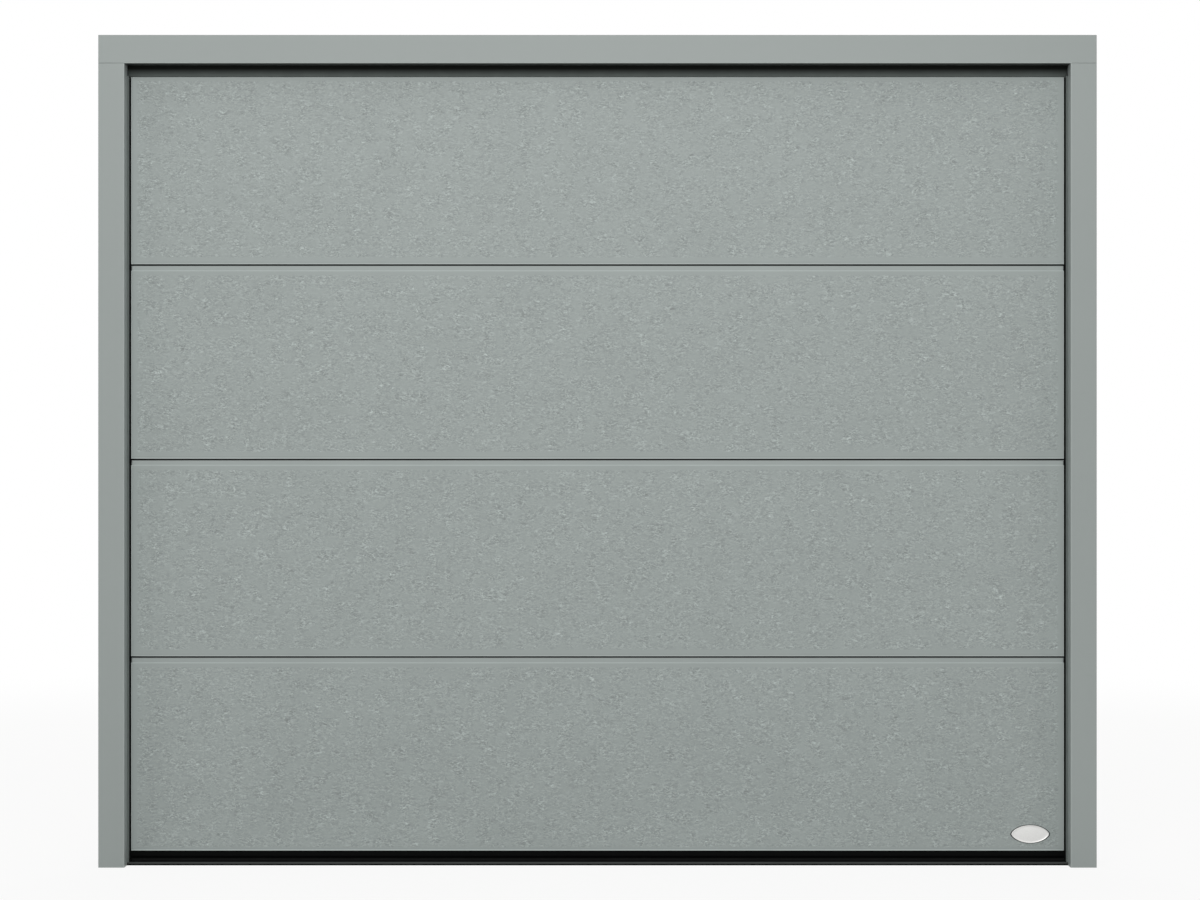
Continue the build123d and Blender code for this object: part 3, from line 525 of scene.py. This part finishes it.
# %% Bevel, groove and set back a copy of each section
EDGE_RADIUS = 1 * MM
GROOVE_PITCH, GROOVE_HALF, GROOVE_DEPTH, GROOVE_MARGIN = 24 * MM, 2.5 * MM, 0.6 * MM, 18 * MM
LEDGE_DEPTH, LEDGE_DROP = 0.5 * MM, 15.4 * MM
FRONT_REACH = 1.9 * MM
NEAR, SAME = 0.1 * MM, 0.01 * MM
FLAT_ANGLE, SHARP_ANGLE, FLAT_FACE = math.radians(1), math.radians(60), 0.97
SORT_LINE = (1.0, 7.31, 53.7)


def put(mesh, slot, *replaced):
    """Makes a piece of a mesh that is already in its place, and lets it stand for CAD nodes."""
    piece = bpy.data.objects.new(mesh.name, mesh)
    scene.collection.objects.link(piece)
    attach(piece, "root")
    if replaced:
        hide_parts(*replaced)
    print(mesh.name, len(mesh.polygons), "faces")


def filled(mesh, model, *materials):
    """Writes a modelled shape into a mesh and gives it its materials."""
    model.to_mesh(mesh)
    model.free()
    for material in materials:
        mesh.materials.append(material)
    return mesh


def front_of(face):
    """How far to the front a face reaches."""
    return min(vert.co.y for vert in face.verts)


def inner_skin(model):
    """The faces of the inner skin."""
    return [face for face in model.faces if front_of(face) > leaf_back - NEAR]


def cut_level(model, faces, height):
    """Cuts a level line through some faces."""
    edges = dict.fromkeys(edge for face in faces for edge in face.edges)
    verts = dict.fromkeys(vert for face in faces for vert in face.verts)
    bmesh.ops.bisect_plane(model, geom=[*faces, *edges, *verts], dist=SAME,
                           plane_co=(0, 0, height), plane_no=(0, 0, 1))


def press_grooves(model):
    """Cuts level lines into the inner skin and moves the middle one of every three inwards."""
    heights = [vert.co.z for face in inner_skin(model) for vert in face.verts]
    low, high = min(heights) + GROOVE_MARGIN, max(heights) - GROOVE_MARGIN
    count = int((high - low) / GROOVE_PITCH)
    first = (low + high - count * GROOVE_PITCH) / 2
    for height in (first + step * GROOVE_PITCH for step in range(count + 1)):
        for shift in (-GROOVE_HALF, 0, GROOVE_HALF):
            cut_level(model, inner_skin(model), height + shift)
        for vert in model.verts:
            if abs(vert.co.z - height) < NEAR and vert.co.y > leaf_back - NEAR:
                vert.co.y -= GROOVE_DEPTH


def set_back_top(model, height):
    """Sets the front face back at a height, from where it slopes to the joint as before."""
    for cut in (height, height + LEDGE_DEPTH):
        cut_level(model, [face for face in model.faces if front_of(face) < FRONT_REACH], cut)
    for vert in model.verts:
        if vert.co.y < FRONT_REACH:
            rise = vert.co.z - height
            vert.co.y += min(max(rise, 0), LEDGE_DEPTH * (1 - rise / (LEDGE_DROP - JOINT_GAP / 2)))


def rolled_section(name, ledge=None):
    """A section with its front edges rounded, its inner skin grooved and a ledge under its joint."""
    model = bmesh.new()
    model.from_mesh(nodes[name].data)
    bmesh.ops.remove_doubles(model, verts=model.verts, dist=SAME)
    bmesh.ops.dissolve_limit(model, angle_limit=FLAT_ANGLE, verts=model.verts, edges=model.edges)
    sharp = [edge for edge in model.edges
             if edge.calc_face_angle(0) > SHARP_ANGLE and max(v.co.y for v in edge.verts) < FRONT_REACH]
    bmesh.ops.bevel(model, geom=sharp, offset=EDGE_RADIUS, segments=3, profile=0.5, affect="EDGES",
                    clamp_overlap=False)
    if ledge:
        set_back_top(model, ledge)
    press_grooves(model)
    bmesh.ops.triangulate(model, faces=[face for face in model.faces if len(face.verts) > 4])
    # the bevel leaves them in an order that changes from run to run
    model.verts.sort(key=lambda vert: vert.co.dot(SORT_LINE))
    model.faces.sort(key=lambda face: face.calc_center_median().dot(SORT_LINE))
    mesh = filled(bpy.data.meshes.new(name + "_skin"), model, leaf_paint)
    for face in mesh.polygons:
        face.use_smooth = max(abs(part) for part in face.normal) < FLAT_FACE
    put(mesh, "leaf_paint", name)


for name, joint in zip(("bottom_section", "lower_middle_section", "upper_middle_section"), joint_heights):
    rolled_section(name, joint - LEDGE_DROP)
rolled_section("top_section")

# %% [markdown]
# ## Gasket ends
# The rubber gasket of a joint runs out to the ends of the leaf, where it closes the slit between
# the end caps. Without it daylight would show at both ends of every joint. Each end is a small
# rounded plug, as wide as the caps' sheet, and a flap of it lies in the notch below the joint.

# %% Plugs in the joints' ends
CAP_SHEET = 1.5 * MM
PLUG_START = 2.5 * MM
NOTCH_FRONT, NOTCH_HEIGHT, FLAP_DEPTH = 2 * MM, 13 * MM, 1.3 * MM
PLUG_FILL, PLUG_RADIUS = 0.98, 0.4 * MM

model = bmesh.new()
plug = (leaf_back / 2, 0, leaf_back - 2 * PLUG_START, JOINT_GAP)
flap = (NOTCH_FRONT - FLAP_DEPTH / 2, (JOINT_GAP + NOTCH_HEIGHT) / 2, FLAP_DEPTH, NOTCH_HEIGHT)
for height, side, (y, drop, depth, rise) in product(joint_heights, (-1, 1), (plug, flap)):
    centre = Vector((side * (leaf_half - CAP_SHEET / 2), y, height - drop))
    size = Matrix.Diagonal((CAP_SHEET * PLUG_FILL, depth, rise * PLUG_FILL, 1))
    bmesh.ops.create_cube(model, size=1, matrix=Matrix.Translation(centre) @ size)
bmesh.ops.bevel(model, geom=model.edges[:], offset=PLUG_RADIUS, segments=2, profile=0.5, affect="EDGES")
mesh = filled(bpy.data.meshes.new("gasket_ends"), model, black_rubber)
mesh.shade_smooth()
put(mesh, "seal_rubber")

# %% [markdown]
# ## Bare plate
# A small pointed oval plate sits low on the leaf. It is a pressed and satined metal plate: a narrow
# raised rim, a shallow step and a slightly domed field, left bare. A black pad under its edge draws a
# thin dark line around it, a painted shadow of the plate. Rings of the same outline, each smaller and
# a little higher or lower, make that relief. The outline is an ellipse drawn out to a point at both
# ends.

# %% Pressed oval plate
# rings as (share of the outline, height above the pad's back in mm), the pad's first
PLATE_RELIEF = [(1.0, 0.0), (1.0, 0.5), (0.955, 0.6), (0.955, 1.6), (0.945, 2.2), (0.925, 2.5),
                (0.905, 2.4), (0.88, 1.8), (0.86, 1.6), (0.7, 1.85), (0.5, 2.1), (0.3, 2.25), (0.12, 2.3)]
SHADOW_PAD_RINGS = 2
PLATE_STEPS, PLATE_CREASE = 32, 50
POINT_POWER = 0.64


def closed_mesh(name, verts, faces, crease, *materials):
    """A smooth closed mesh with its normals outwards and its edges sharp past an angle in degrees."""
    mesh = bpy.data.meshes.new(name)
    mesh.from_pydata(verts, [], faces)
    model = bmesh.new()
    model.from_mesh(mesh)
    bmesh.ops.recalc_face_normals(model, faces=model.faces)
    filled(mesh, model, *materials)
    mesh.shade_smooth()
    mesh.set_sharp_from_angle(angle=math.radians(crease))
    return mesh


low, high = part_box("badge_plate")
x, _, z = (low + high) / 2
half, rise = (high.x - low.x) / 2, (high.z - low.z) / 2
outline = []
for side, step in product((1, -1), range(PLATE_STEPS)):
    along = -side * math.cos(math.pi * step / PLATE_STEPS)
    outline.append((half * along, side * rise * (1 - along * along) ** POINT_POWER))
count = len(outline)
verts = [(x + right * scale, high.y - height * MM, z + up * scale)
         for scale, height in PLATE_RELIEF for right, up in outline]
faces = [(ring * count + i, ring * count + (i + 1) % count,
          (ring + 1) * count + (i + 1) % count, (ring + 1) * count + i)
         for ring in range(len(PLATE_RELIEF) - 1) for i in range(count)]
faces += [tuple(range(count)), tuple(range(len(verts) - count, len(verts)))]
mesh = closed_mesh("oval_plate", verts, faces, PLATE_CREASE, plate_metal, black_rubber)
# the pad's rings are black, a painted shadow around the plate
for face in mesh.polygons[:count * SHADOW_PAD_RINGS]:
    face.material_index = 1
put(mesh, "badge_metal", "badge_plate")

# %% [markdown]
# ## Geometry Nodes for what repeats
# Coils, strands and screws follow simple rules, so Geometry Nodes make them. Each tree is built
# here with named inputs. One function puts a tree on a base mesh, sets its inputs by their sockets'
# identifiers, and turns the result into a plain mesh, because an exported model keeps no modifier.

# %% Start, end and run a geometry tree


def geometry_tree(name, inputs):
    """A tree with a geometry in and out, the named inputs with their kinds, and a material."""
    tree = bpy.data.node_groups.new(name, "GeometryNodeTree")
    tree.interface.new_socket("Geometry", in_out="OUTPUT", socket_type="NodeSocketGeometry")
    for label, kind in {"Geometry": "Geometry", **inputs, "Material": "Material"}.items():
        tree.interface.new_socket(label, in_out="INPUT", socket_type="NodeSocket" + kind)
    return tree, add(tree, "GroupInput").outputs


def end_tree(tree, given, geometry):
    """Makes instances real, sets the material and ends the tree."""
    real = add(tree, "RealizeInstances", geometry)
    done = add(tree, "SetMaterial", real, {"Material": given["Material"]})
    add(tree, "GroupOutput", done)


def baked(name, tree, base_mesh, values):
    """The plain mesh that a tree makes from a base mesh and its input values."""
    base = bpy.data.objects.new(name, base_mesh)
    scene.collection.objects.link(base)
    modifier = base.modifiers.new("nodes", "NODES")
    modifier.node_group = tree
    for item in tree.interface.items_tree:
        if item.item_type == "SOCKET" and item.in_out == "INPUT" and item.name in values:
            modifier[item.identifier] = values[item.name]
    graph = bpy.context.evaluated_depsgraph_get()
    mesh = bpy.data.meshes.new_from_object(base.evaluated_get(graph), depsgraph=graph)
    mesh.name = name
    bpy.data.objects.remove(base)
    return mesh


# %% [markdown]
# ## Torsion springs
# Each spring is 6 mm oil-tempered wire wound coil against coil, and the two are wound in opposite
# directions. A spiral curve with a round profile gives the coils. The CAD tubes hold their place.

# %% Coils
SPRING_START = 17 * MM
SPRING_WIRE = 6 * MM
COIL_PITCH = 6.08 * MM
spring_low, spring_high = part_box("torsion_springs")
spring_radius = (spring_high.z - spring_low.z) / 2
coil_length = spring_high.x - SPRING_START - SPRING_WIRE

tree, given = geometry_tree("spring_coils", {"Turns": "Float", "Length": "Float", "Coil radius": "Float",
                                             "Wire radius": "Float", "Start": "Vector"})
wire = add(tree, "CurvePrimitiveCircle", {"Resolution": 8, "Radius": given["Wire radius"]})
sides = []
for side in (1, -1):
    spiral = add(tree, "CurveSpiral", {
        "Resolution": 24, "Reverse": side < 0, "Rotations": given["Turns"], "Height": given["Length"],
        "Start Radius": given["Coil radius"], "End Radius": given["Coil radius"]})
    coil = add(tree, "CurveToMesh", {"Fill Caps": True, "Curve": spiral, "Profile Curve": wire})
    start = add(tree, "VectorMath MULTIPLY", given["Start"], (side, 1, 1))
    turn = (0, side * math.radians(90), 0)
    sides.append(add(tree, "Transform",
                     {"Geometry": coil, "Translation": start, "Rotation": turn}))
joined = add(tree, "JoinGeometry", sides)
end_tree(tree, given, add(tree, "SetShadeSmooth", joined))
coils = baked("torsion_spring_coils", tree, bpy.data.meshes.new("coil_base"), {
    "Turns": coil_length / COIL_PITCH, "Length": coil_length, "Coil radius": spring_radius - SPRING_WIRE / 2,
    "Wire radius": SPRING_WIRE / 2, "Start": (SPRING_START + SPRING_WIRE / 2, shaft_y, shaft_z),
    "Material": spring_wire})
put(coils, "spring_steel", "torsion_springs")

# %% [markdown]
# ## Lift cables
# A lift cable is six strands laid round a core, 4 mm thick. It hooks on the bottom bracket, runs up
# beside the leaf, over the pulley, back along the tracks and twice round its drum. The strands are
# drawn as a six-lobed profile that turns once in 28 mm as it follows the path. Pull keeps the
# cable straight between its pulleys, so the path is straight lines and arcs.

# %% Strands
CABLE_RADIUS = 2 * MM
LAY_LENGTH, STRAND_STEP = 28 * MM, 2.6 * MM
VALLEY_SHARE = 0.72
DRUM_PITCH, DRUM_TURNS = 5 * MM, 2.2
PULLEY_STEPS, TURN_STEPS = 12, 48

cable_x = middle("lift_cable_right")[0]
cable_low, cable_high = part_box("lift_cable_right")
cable_y, cable_run = cable_low.y + CABLE_RADIUS, cable_high.z - CABLE_RADIUS
pulley_y, pulley_z = middle("cable_pulleys")[1:]
pulley_path, drum_path = pulley_y - cable_y, cable_run - shaft_z


def cable_route(side):
    """Points from the bottom bracket over the pulley and round the drum."""
    points = [(cable_x, cable_y, cable_low.z), (cable_x, cable_y, pulley_z)]
    for step in range(1, PULLEY_STEPS + 1):
        angle = math.radians(90) * step / PULLEY_STEPS
        points.append((cable_x, pulley_y - pulley_path * math.cos(angle),
                       pulley_z + pulley_path * math.sin(angle)))
    steps = round(DRUM_TURNS * TURN_STEPS)
    for step in range(steps + 1):
        angle = math.tau * DRUM_TURNS * step / steps
        points.append((cable_x + DRUM_PITCH * angle / math.tau, shaft_y + drum_path * math.sin(angle),
                       shaft_z + drum_path * math.cos(angle)))
    mesh = bpy.data.meshes.new("cable_route")
    mesh.from_pydata([(side * x, y, z) for x, y, z in points],
                     [(i, i + 1) for i in range(len(points) - 1)], [])
    return mesh


tree, given = geometry_tree("cable_strands", {"Step": "Float", "Lay length": "Float", "Radius": "Float"})
route = add(tree, "MeshToCurve", given["Geometry"])
even = add(tree, "ResampleCurve", {"Curve": route, "Length": given["Step"]}, mode="LENGTH")
along = add(tree, "SplineParameter").outputs["Length"]
laps = add(tree, "Math DIVIDE", along, given["Lay length"])
turn = add(tree, "Math MULTIPLY", laps, math.tau)
twisted = add(tree, "SetCurveTilt", {"Curve": even, "Tilt": turn})
valley = add(tree, "Math MULTIPLY", given["Radius"], VALLEY_SHARE)
lobes = add(tree, "CurveStar",
            {"Points": 6, "Inner Radius": valley, "Outer Radius": given["Radius"]})
strands = add(tree, "CurveToMesh", {"Fill Caps": True, "Curve": twisted, "Profile Curve": lobes})
end_tree(tree, given, add(tree, "SetShadeSmooth", strands))
for side, label in ((-1, "left"), (1, "right")):
    mesh = baked("lift_cable_strands_" + label, tree, cable_route(side), {
        "Step": STRAND_STEP, "Lay length": LAY_LENGTH, "Radius": CABLE_RADIUS, "Material": cable_wire})
    put(mesh, "cable_steel", "lift_cable_" + label)

# %% [markdown]
# ## Cable drums
# A cast drum has one groove that winds round its barrel, so the cable lies in it and never crosses
# itself. The drum is a closed profile turned about the shaft, and the barrel's radius is worked
# out at each point from how far it is along from the groove.

# %% Grooved drums
DRUM_STEPS, TURNED_CREASE = 72, 35
DRUM_WIDTH, FLANGE_THICKNESS, DRUM_CHAMFER = 40 * MM, 4 * MM, 1 * MM
HUB_LENGTH, HUB_RADIUS, HUB_CHAMFER = 10 * MM, 22 * MM, 1.5 * MM
GROOVE_STEP, GROOVE_RADIUS, GROOVE_FLOOR = 0.8 * MM, 2.25 * MM, 0.6 * MM
SHAFT_PLAY = 0.1 * MM
drum_low, drum_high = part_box("cable_drums")
drum_out, drum_in = drum_high.x, drum_high.x - DRUM_WIDTH
flange_in, flange_radius = drum_out - FLANGE_THICKNESS, (drum_high.z - drum_low.z) / 2
shaft_low, shaft_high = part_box("spring_shaft")
bore_radius = (shaft_high.z - shaft_low.z) / 2 + SHAFT_PLAY


def turned(name, places, axis, profile, steps, material, slot, *replaced):
    """Closed (along, radius) profiles turned about lines along X or Z, on both sides of the door."""
    verts, faces = [], []
    for side, (x, y, z) in product((-1, 1), places):
        start = len(verts)
        for step in range(steps):
            angle = math.tau * step / steps
            across, up = math.sin(angle), math.cos(angle)
            for along, radius in profile(angle):
                if axis == "X":
                    verts.append((side * (x + along), y + radius * across, z + radius * up))
                else:
                    verts.append((side * (x + radius * up), y + radius * across, z + along))
        count = (len(verts) - start) // steps
        for step in range(steps):
            here, there = start + step * count, start + (step + 1) % steps * count
            faces += [(here + i, here + (i + 1) % count, there + (i + 1) % count, there + i)
                      for i in range(count)]
    put(closed_mesh(name, verts, faces, TURNED_CREASE, material), slot, *replaced)


def drum_profile(angle):
    """Hub, grooved barrel and flange of a drum at one angle round the shaft."""
    barrel = []
    steps = round((flange_in - drum_in) / GROOVE_STEP)
    for step in range(steps + 1):
        x = drum_in + (flange_in - drum_in) * step / steps
        off = (x - cable_x - DRUM_PITCH * angle / math.tau + DRUM_PITCH / 2) % DRUM_PITCH - DRUM_PITCH / 2
        groove = math.sqrt(max(GROOVE_RADIUS ** 2 - off * off, 0))
        barrel.append((x, drum_path - max(groove, GROOVE_FLOOR)))
    hub_end, rim = drum_in - HUB_LENGTH, flange_radius - DRUM_CHAMFER
    hub = [(hub_end, bore_radius), (hub_end, HUB_RADIUS - HUB_CHAMFER), (hub_end + HUB_CHAMFER, HUB_RADIUS),
           (drum_in, HUB_RADIUS)]
    flange = [(flange_in, rim), (flange_in + DRUM_CHAMFER, flange_radius),
              (drum_out - DRUM_CHAMFER, flange_radius), (drum_out, rim), (drum_out, bore_radius)]
    return hub + barrel + flange


turned("grooved_drums", [(0, shaft_y, shaft_z)], "X", drum_profile, DRUM_STEPS, cast_aluminium,
       "cast_aluminium", "cable_drums")

# %% [markdown]
# ## Small turned parts
# Each roller has a ball race whose steel rings stand a little out of the nylon, and its stem ends
# in a retaining ring. The cable ends in an eye around the bracket's pin, closed by a pressed
# ferrule. All of them are closed profiles turned about their own lines.

# %% Races, rings, eyes and ferrules
WHEEL_WIDTH, WHEEL_RADIUS = 20 * MM, 23.7 * MM
HINGE_ROLLER_RISE = 24 * MM
RING_INSET, PIN_DROP, FERRULE_RISE = 5 * MM, 4.3 * MM, 6 * MM
# profiles as (along, radius) in mm
RACE = [(0.0, 5.6), (-2.0, 5.6), (-2.0, 7.6), (-1.2, 8.2), (-1.2, 11.4), (-1.6, 11.8), (-1.6, 13.4),
        (0.0, 14.0)]
RING = [(-1.2, 5.3), (-1.2, 7.0), (-0.8, 7.4), (0.8, 7.4), (1.2, 7.0), (1.2, 5.3)]
FERRULE = [(0.0, 1.8), (0.0, 3.4), (1.5, 4.2), (9.0, 4.2), (10.0, 3.9), (11.0, 4.2), (20.5, 4.2),
           (22.0, 3.4), (22.0, 1.8)]
EYE = [(2.0 * math.cos(math.tau * i / 10), 6.2 + 2.0 * math.sin(math.tau * i / 10)) for i in range(10)]

wheel_low, wheel_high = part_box("roller_wheels")
track_y = middle("vertical_track_right")[1]
roller_heights = [wheel_low.z + WHEEL_RADIUS, *(height + HINGE_ROLLER_RISE for height in joint_heights),
                  wheel_high.z - WHEEL_RADIUS]
races = [(wheel_high.x - WHEEL_WIDTH, track_y, height) for height in roller_heights]
rings = [(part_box("top_bracket_right")[0].x - RING_INSET, track_y, height) for height in roller_heights]
for name, places, axis, profile, steps, material, slot in (
        ("ball_races", races, "X", RACE, 28, screw_steel, "galvanised_steel"),
        ("retaining_rings", rings, "X", RING, 20, screw_steel, "galvanised_steel"),
        ("cable_eyes", [(cable_x, cable_y, cable_low.z - PIN_DROP)], "X", EYE, 28, cable_wire, "cable_steel"),
        ("cable_ferrules", [(cable_x, cable_y, cable_low.z + FERRULE_RISE)], "Z", FERRULE, 20,
         cast_aluminium, "cast_aluminium")):
    turned(name, places, axis, lambda angle: [(along * MM, radius * MM) for along, radius in profile],
           steps, material, slot)

# %% [markdown]
# ## Screws, bolts and rivets
# Hinges and brackets are held by hex screws with a pressed washer, the tracks by bolts of the same
# kind, and the end caps by domed rivets. The heads of the hinge pins are domed too. A list of
# places and directions becomes loose points, and a tree puts a head on each point, turned by a
# fixed random angle as hand-driven screws are.

# %% Places of the heads, for the right side
PLATE_SHEET, BARREL_RADIUS, PIN_REACH = 3 * MM, 8 * MM, 30 * MM
SCREW_SHIFTS, SCREW_RISES = (-14 * MM, 14 * MM), (-38 * MM, 38 * MM)
BOLT_INSET, BOLT_SHIFTS, HANGER_DROP = 20 * MM, (-12 * MM, 12 * MM), 62 * MM
JAMB_INSET, JAMB_FIRST, JAMB_PITCH = 38 * MM, 150 * MM, 370 * MM
CROSSBAR_SIDE, CROSSBAR_INSET = 32 * MM, 22 * MM
RIVET_INSET, RIVET_MARGIN, BEARING_CIRCLE = 50 * MM, 150 * MM, 36 * MM
CONE_REACH, CONE_RADIUS = 13 * MM, 34 * MM
BACK, OUT, UP = (0, 1, 0), (1, 0, 0), (0, 0, 1)
jamb_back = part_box("jamb_right")[1].y
bracket_foot, top_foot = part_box("bottom_bracket_right")[0].z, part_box("top_bracket_right")[0].z
plate_x, plate_y = middle("side_hinges_right")[0], leaf_back + CAP_SHEET + PLATE_SHEET
centre_x, centre_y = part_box("centre_hinges")[1].x - 30 * MM, leaf_back + PLATE_SHEET
corner_low, corner_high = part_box("corner_plate_right")
track_face = corner_high.x - 17 * MM
lower_z, upper_z = middle("lower_track_right")[2], middle("upper_track_right")[2]
track_end, track_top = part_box("upper_track_right")[1].yz
hanger_low, hanger_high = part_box("ceiling_hangers")

screws = [((x + shift, y, height + rise), BACK)
          for height, rise, shift in product(joint_heights, SCREW_RISES, SCREW_SHIFTS)
          for x, y in ((plate_x, plate_y), (centre_x, centre_y))]
bracket_rows = (bracket_foot + 20 * MM, bracket_foot + 100 * MM, top_foot + 18 * MM, top_foot + 92 * MM)
screws += [((plate_x + shift, plate_y, z), BACK) for z, shift in product(bracket_rows, SCREW_SHIFTS)]
track_rows = (380 * MM, 450 * MM, track_end - 95 * MM, track_end - 25 * MM)
track_places = [(y, z) for z, y in product((lower_z, upper_z), track_rows)]
track_places += [(track_y + shift, corner_low.z + BOLT_INSET) for shift in BOLT_SHIFTS]
track_places += product((hanger_low.y + BOLT_INSET, hanger_high.y - BOLT_INSET),
                        (track_top - HANGER_DROP, upper_z))
screws += [((track_face, y, z), OUT) for y, z in track_places]
screws += [((opening_half + JAMB_INSET, jamb_back, JAMB_FIRST + JAMB_PITCH * i), BACK) for i in range(5)]
screws.append(((opening_half + CROSSBAR_SIDE, track_end - CROSSBAR_INSET, track_top + PLATE_SHEET), UP))
screws.append(((2 * cable_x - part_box("cable_pulleys")[1].x, pulley_y, pulley_z), (-1, 0, 0)))

edges = [leaf_low, *joint_heights, leaf_high]
rivets = [((leaf_half - RIVET_INSET, leaf_back + CAP_SHEET, height), BACK)
          for low, high in zip(edges, edges[1:])
          for height in (low + RIVET_MARGIN, (low + high) / 2, high - RIVET_MARGIN)]
rivets += [((x + way * PIN_REACH, y + BARREL_RADIUS, height), (way, 0, 0)) for height, (x, y), way in product(
    joint_heights, ((plate_x, leaf_back + CAP_SHEET), (centre_x, leaf_back)), (-1, 1))]


def round_shaft(x, radius, degrees):
    """A place at an angle round the shaft, and the direction outwards from the shaft."""
    across, up = math.cos(math.radians(degrees)), math.sin(math.radians(degrees))
    return (x, shaft_y + radius * across, shaft_z + radius * up), (0, across, up)


rivets += [(round_shaft(track_face, BEARING_CIRCLE, angle)[0], OUT) for angle in (45, 135, 225, 315)]
set_screws = [round_shaft(x, radius, angle) for (x, radius), angle in product(
    ((drum_in - HUB_LENGTH / 2, HUB_RADIUS), (spring_high.x + CONE_REACH, CONE_RADIUS)), (35, 125))]
print(len(screws), "screws", len(rivets), "rivets", len(set_screws), "set screws on each side")

# %% Heads on points


def points_on_both_sides(name, places):
    """Loose points with the direction that each head faces, mirrored to the left side."""
    places = places + [((-x, y, z), (-a, b, c)) for (x, y, z), (a, b, c) in places]
    mesh = bpy.data.meshes.new(name)
    mesh.from_pydata([place for place, _ in places], [], [])
    facing = mesh.attributes.new("facing", "FLOAT_VECTOR", "POINT")
    for row, (_, direction) in zip(facing.data, places):
        row.vector = direction
    return mesh


def head_tree(name, head):
    """A tree that puts a head, made of nodes, on each point of the base mesh."""
    tree, given = geometry_tree(name, {
        "Radius": "Float", "Height": "Float", "Washer radius": "Float", "Seed": "Int"})
    shape = add(tree, "JoinGeometry",
                head(tree, given["Radius"], given["Height"], given["Washer radius"]))
    facing = add(tree, "InputNamedAttribute", {"Name": "facing"}, data_type="FLOAT_VECTOR")
    aligned = add(tree, "AlignRotationToVector", {"Vector": facing}, axis="Z")
    spin = add(tree, "RandomValue", {"Seed": given["Seed"], 3: math.tau}, data_type="FLOAT")
    about = add(tree, "AxisAngleToRotation", {"Axis": UP, "Angle": spin.outputs[1]})
    pose = add(tree, "RotateRotation", aligned, about, rotation_space="LOCAL")
    heads = add(tree, "InstanceOnPoints",
                {"Points": given["Geometry"], "Instance": shape, "Rotation": pose})
    end_tree(tree, given, heads)
    return tree


def hex_head(tree, radius, height, washer):
    """A hexagon with a chamfered top on a sloping washer."""
    washer_top, crown_top, washer_height, body_height, crown_height = [
        add(tree, "Math MULTIPLY", size, share)
        for size, share in ((washer, 0.86), (radius, 0.86), (height, 0.3), (height, 0.85), (height, 0.15))]
    collar, body, crown = [
        add(tree, "MeshCone",
            {"Vertices": sides, "Radius Top": top, "Radius Bottom": foot, "Depth": depth})
        for sides, top, foot, depth in (
            (20, washer_top, washer, washer_height), (6, radius, radius, body_height),
            (6, crown_top, radius, crown_height))]
    lift = add(tree, "CombineXYZ", {"Z": body_height})
    crown = add(tree, "Transform", {"Geometry": crown, "Translation": lift})
    return [collar, body, crown]


def rivet_head(tree, radius, height, washer):
    """A shallow dome on a thin collar."""
    ball = add(tree, "MeshUVSphere", {"Segments": 16, "Rings": 8, "Radius": radius})
    flat = add(tree, "Math DIVIDE", height, radius)
    squash = add(tree, "CombineXYZ", 1.0, 1.0, flat)
    dome = add(tree, "Transform", {"Geometry": ball, "Scale": squash})
    dome = add(tree, "SetShadeSmooth", dome)
    collar_height = add(tree, "Math MULTIPLY", height, 0.3)
    collar = add(tree, "MeshCone",
                 {"Vertices": 16, "Radius Top": radius, "Radius Bottom": washer, "Depth": collar_height})
    return [dome, collar]


# %% Put the heads on
hex_tree, dome_tree = head_tree("hex_heads", hex_head), head_tree("rivet_heads", rivet_head)
# sizes of the heads in mm
for name, tree, places, radius, height, washer in (
        ("hex_washer_screws", hex_tree, screws, 5.77, 4.6, 7.2),
        ("drum_set_screws", hex_tree, set_screws, 4.6, 7.0, 4.7),
        ("domed_rivets", dome_tree, rivets, 3.6, 1.8, 4.0)):
    put(baked(name, tree, points_on_both_sides(name + "_places", places), {
        "Radius": radius * MM, "Height": height * MM, "Washer radius": washer * MM, "Seed": 7,
        "Material": screw_steel}), "galvanised_steel")
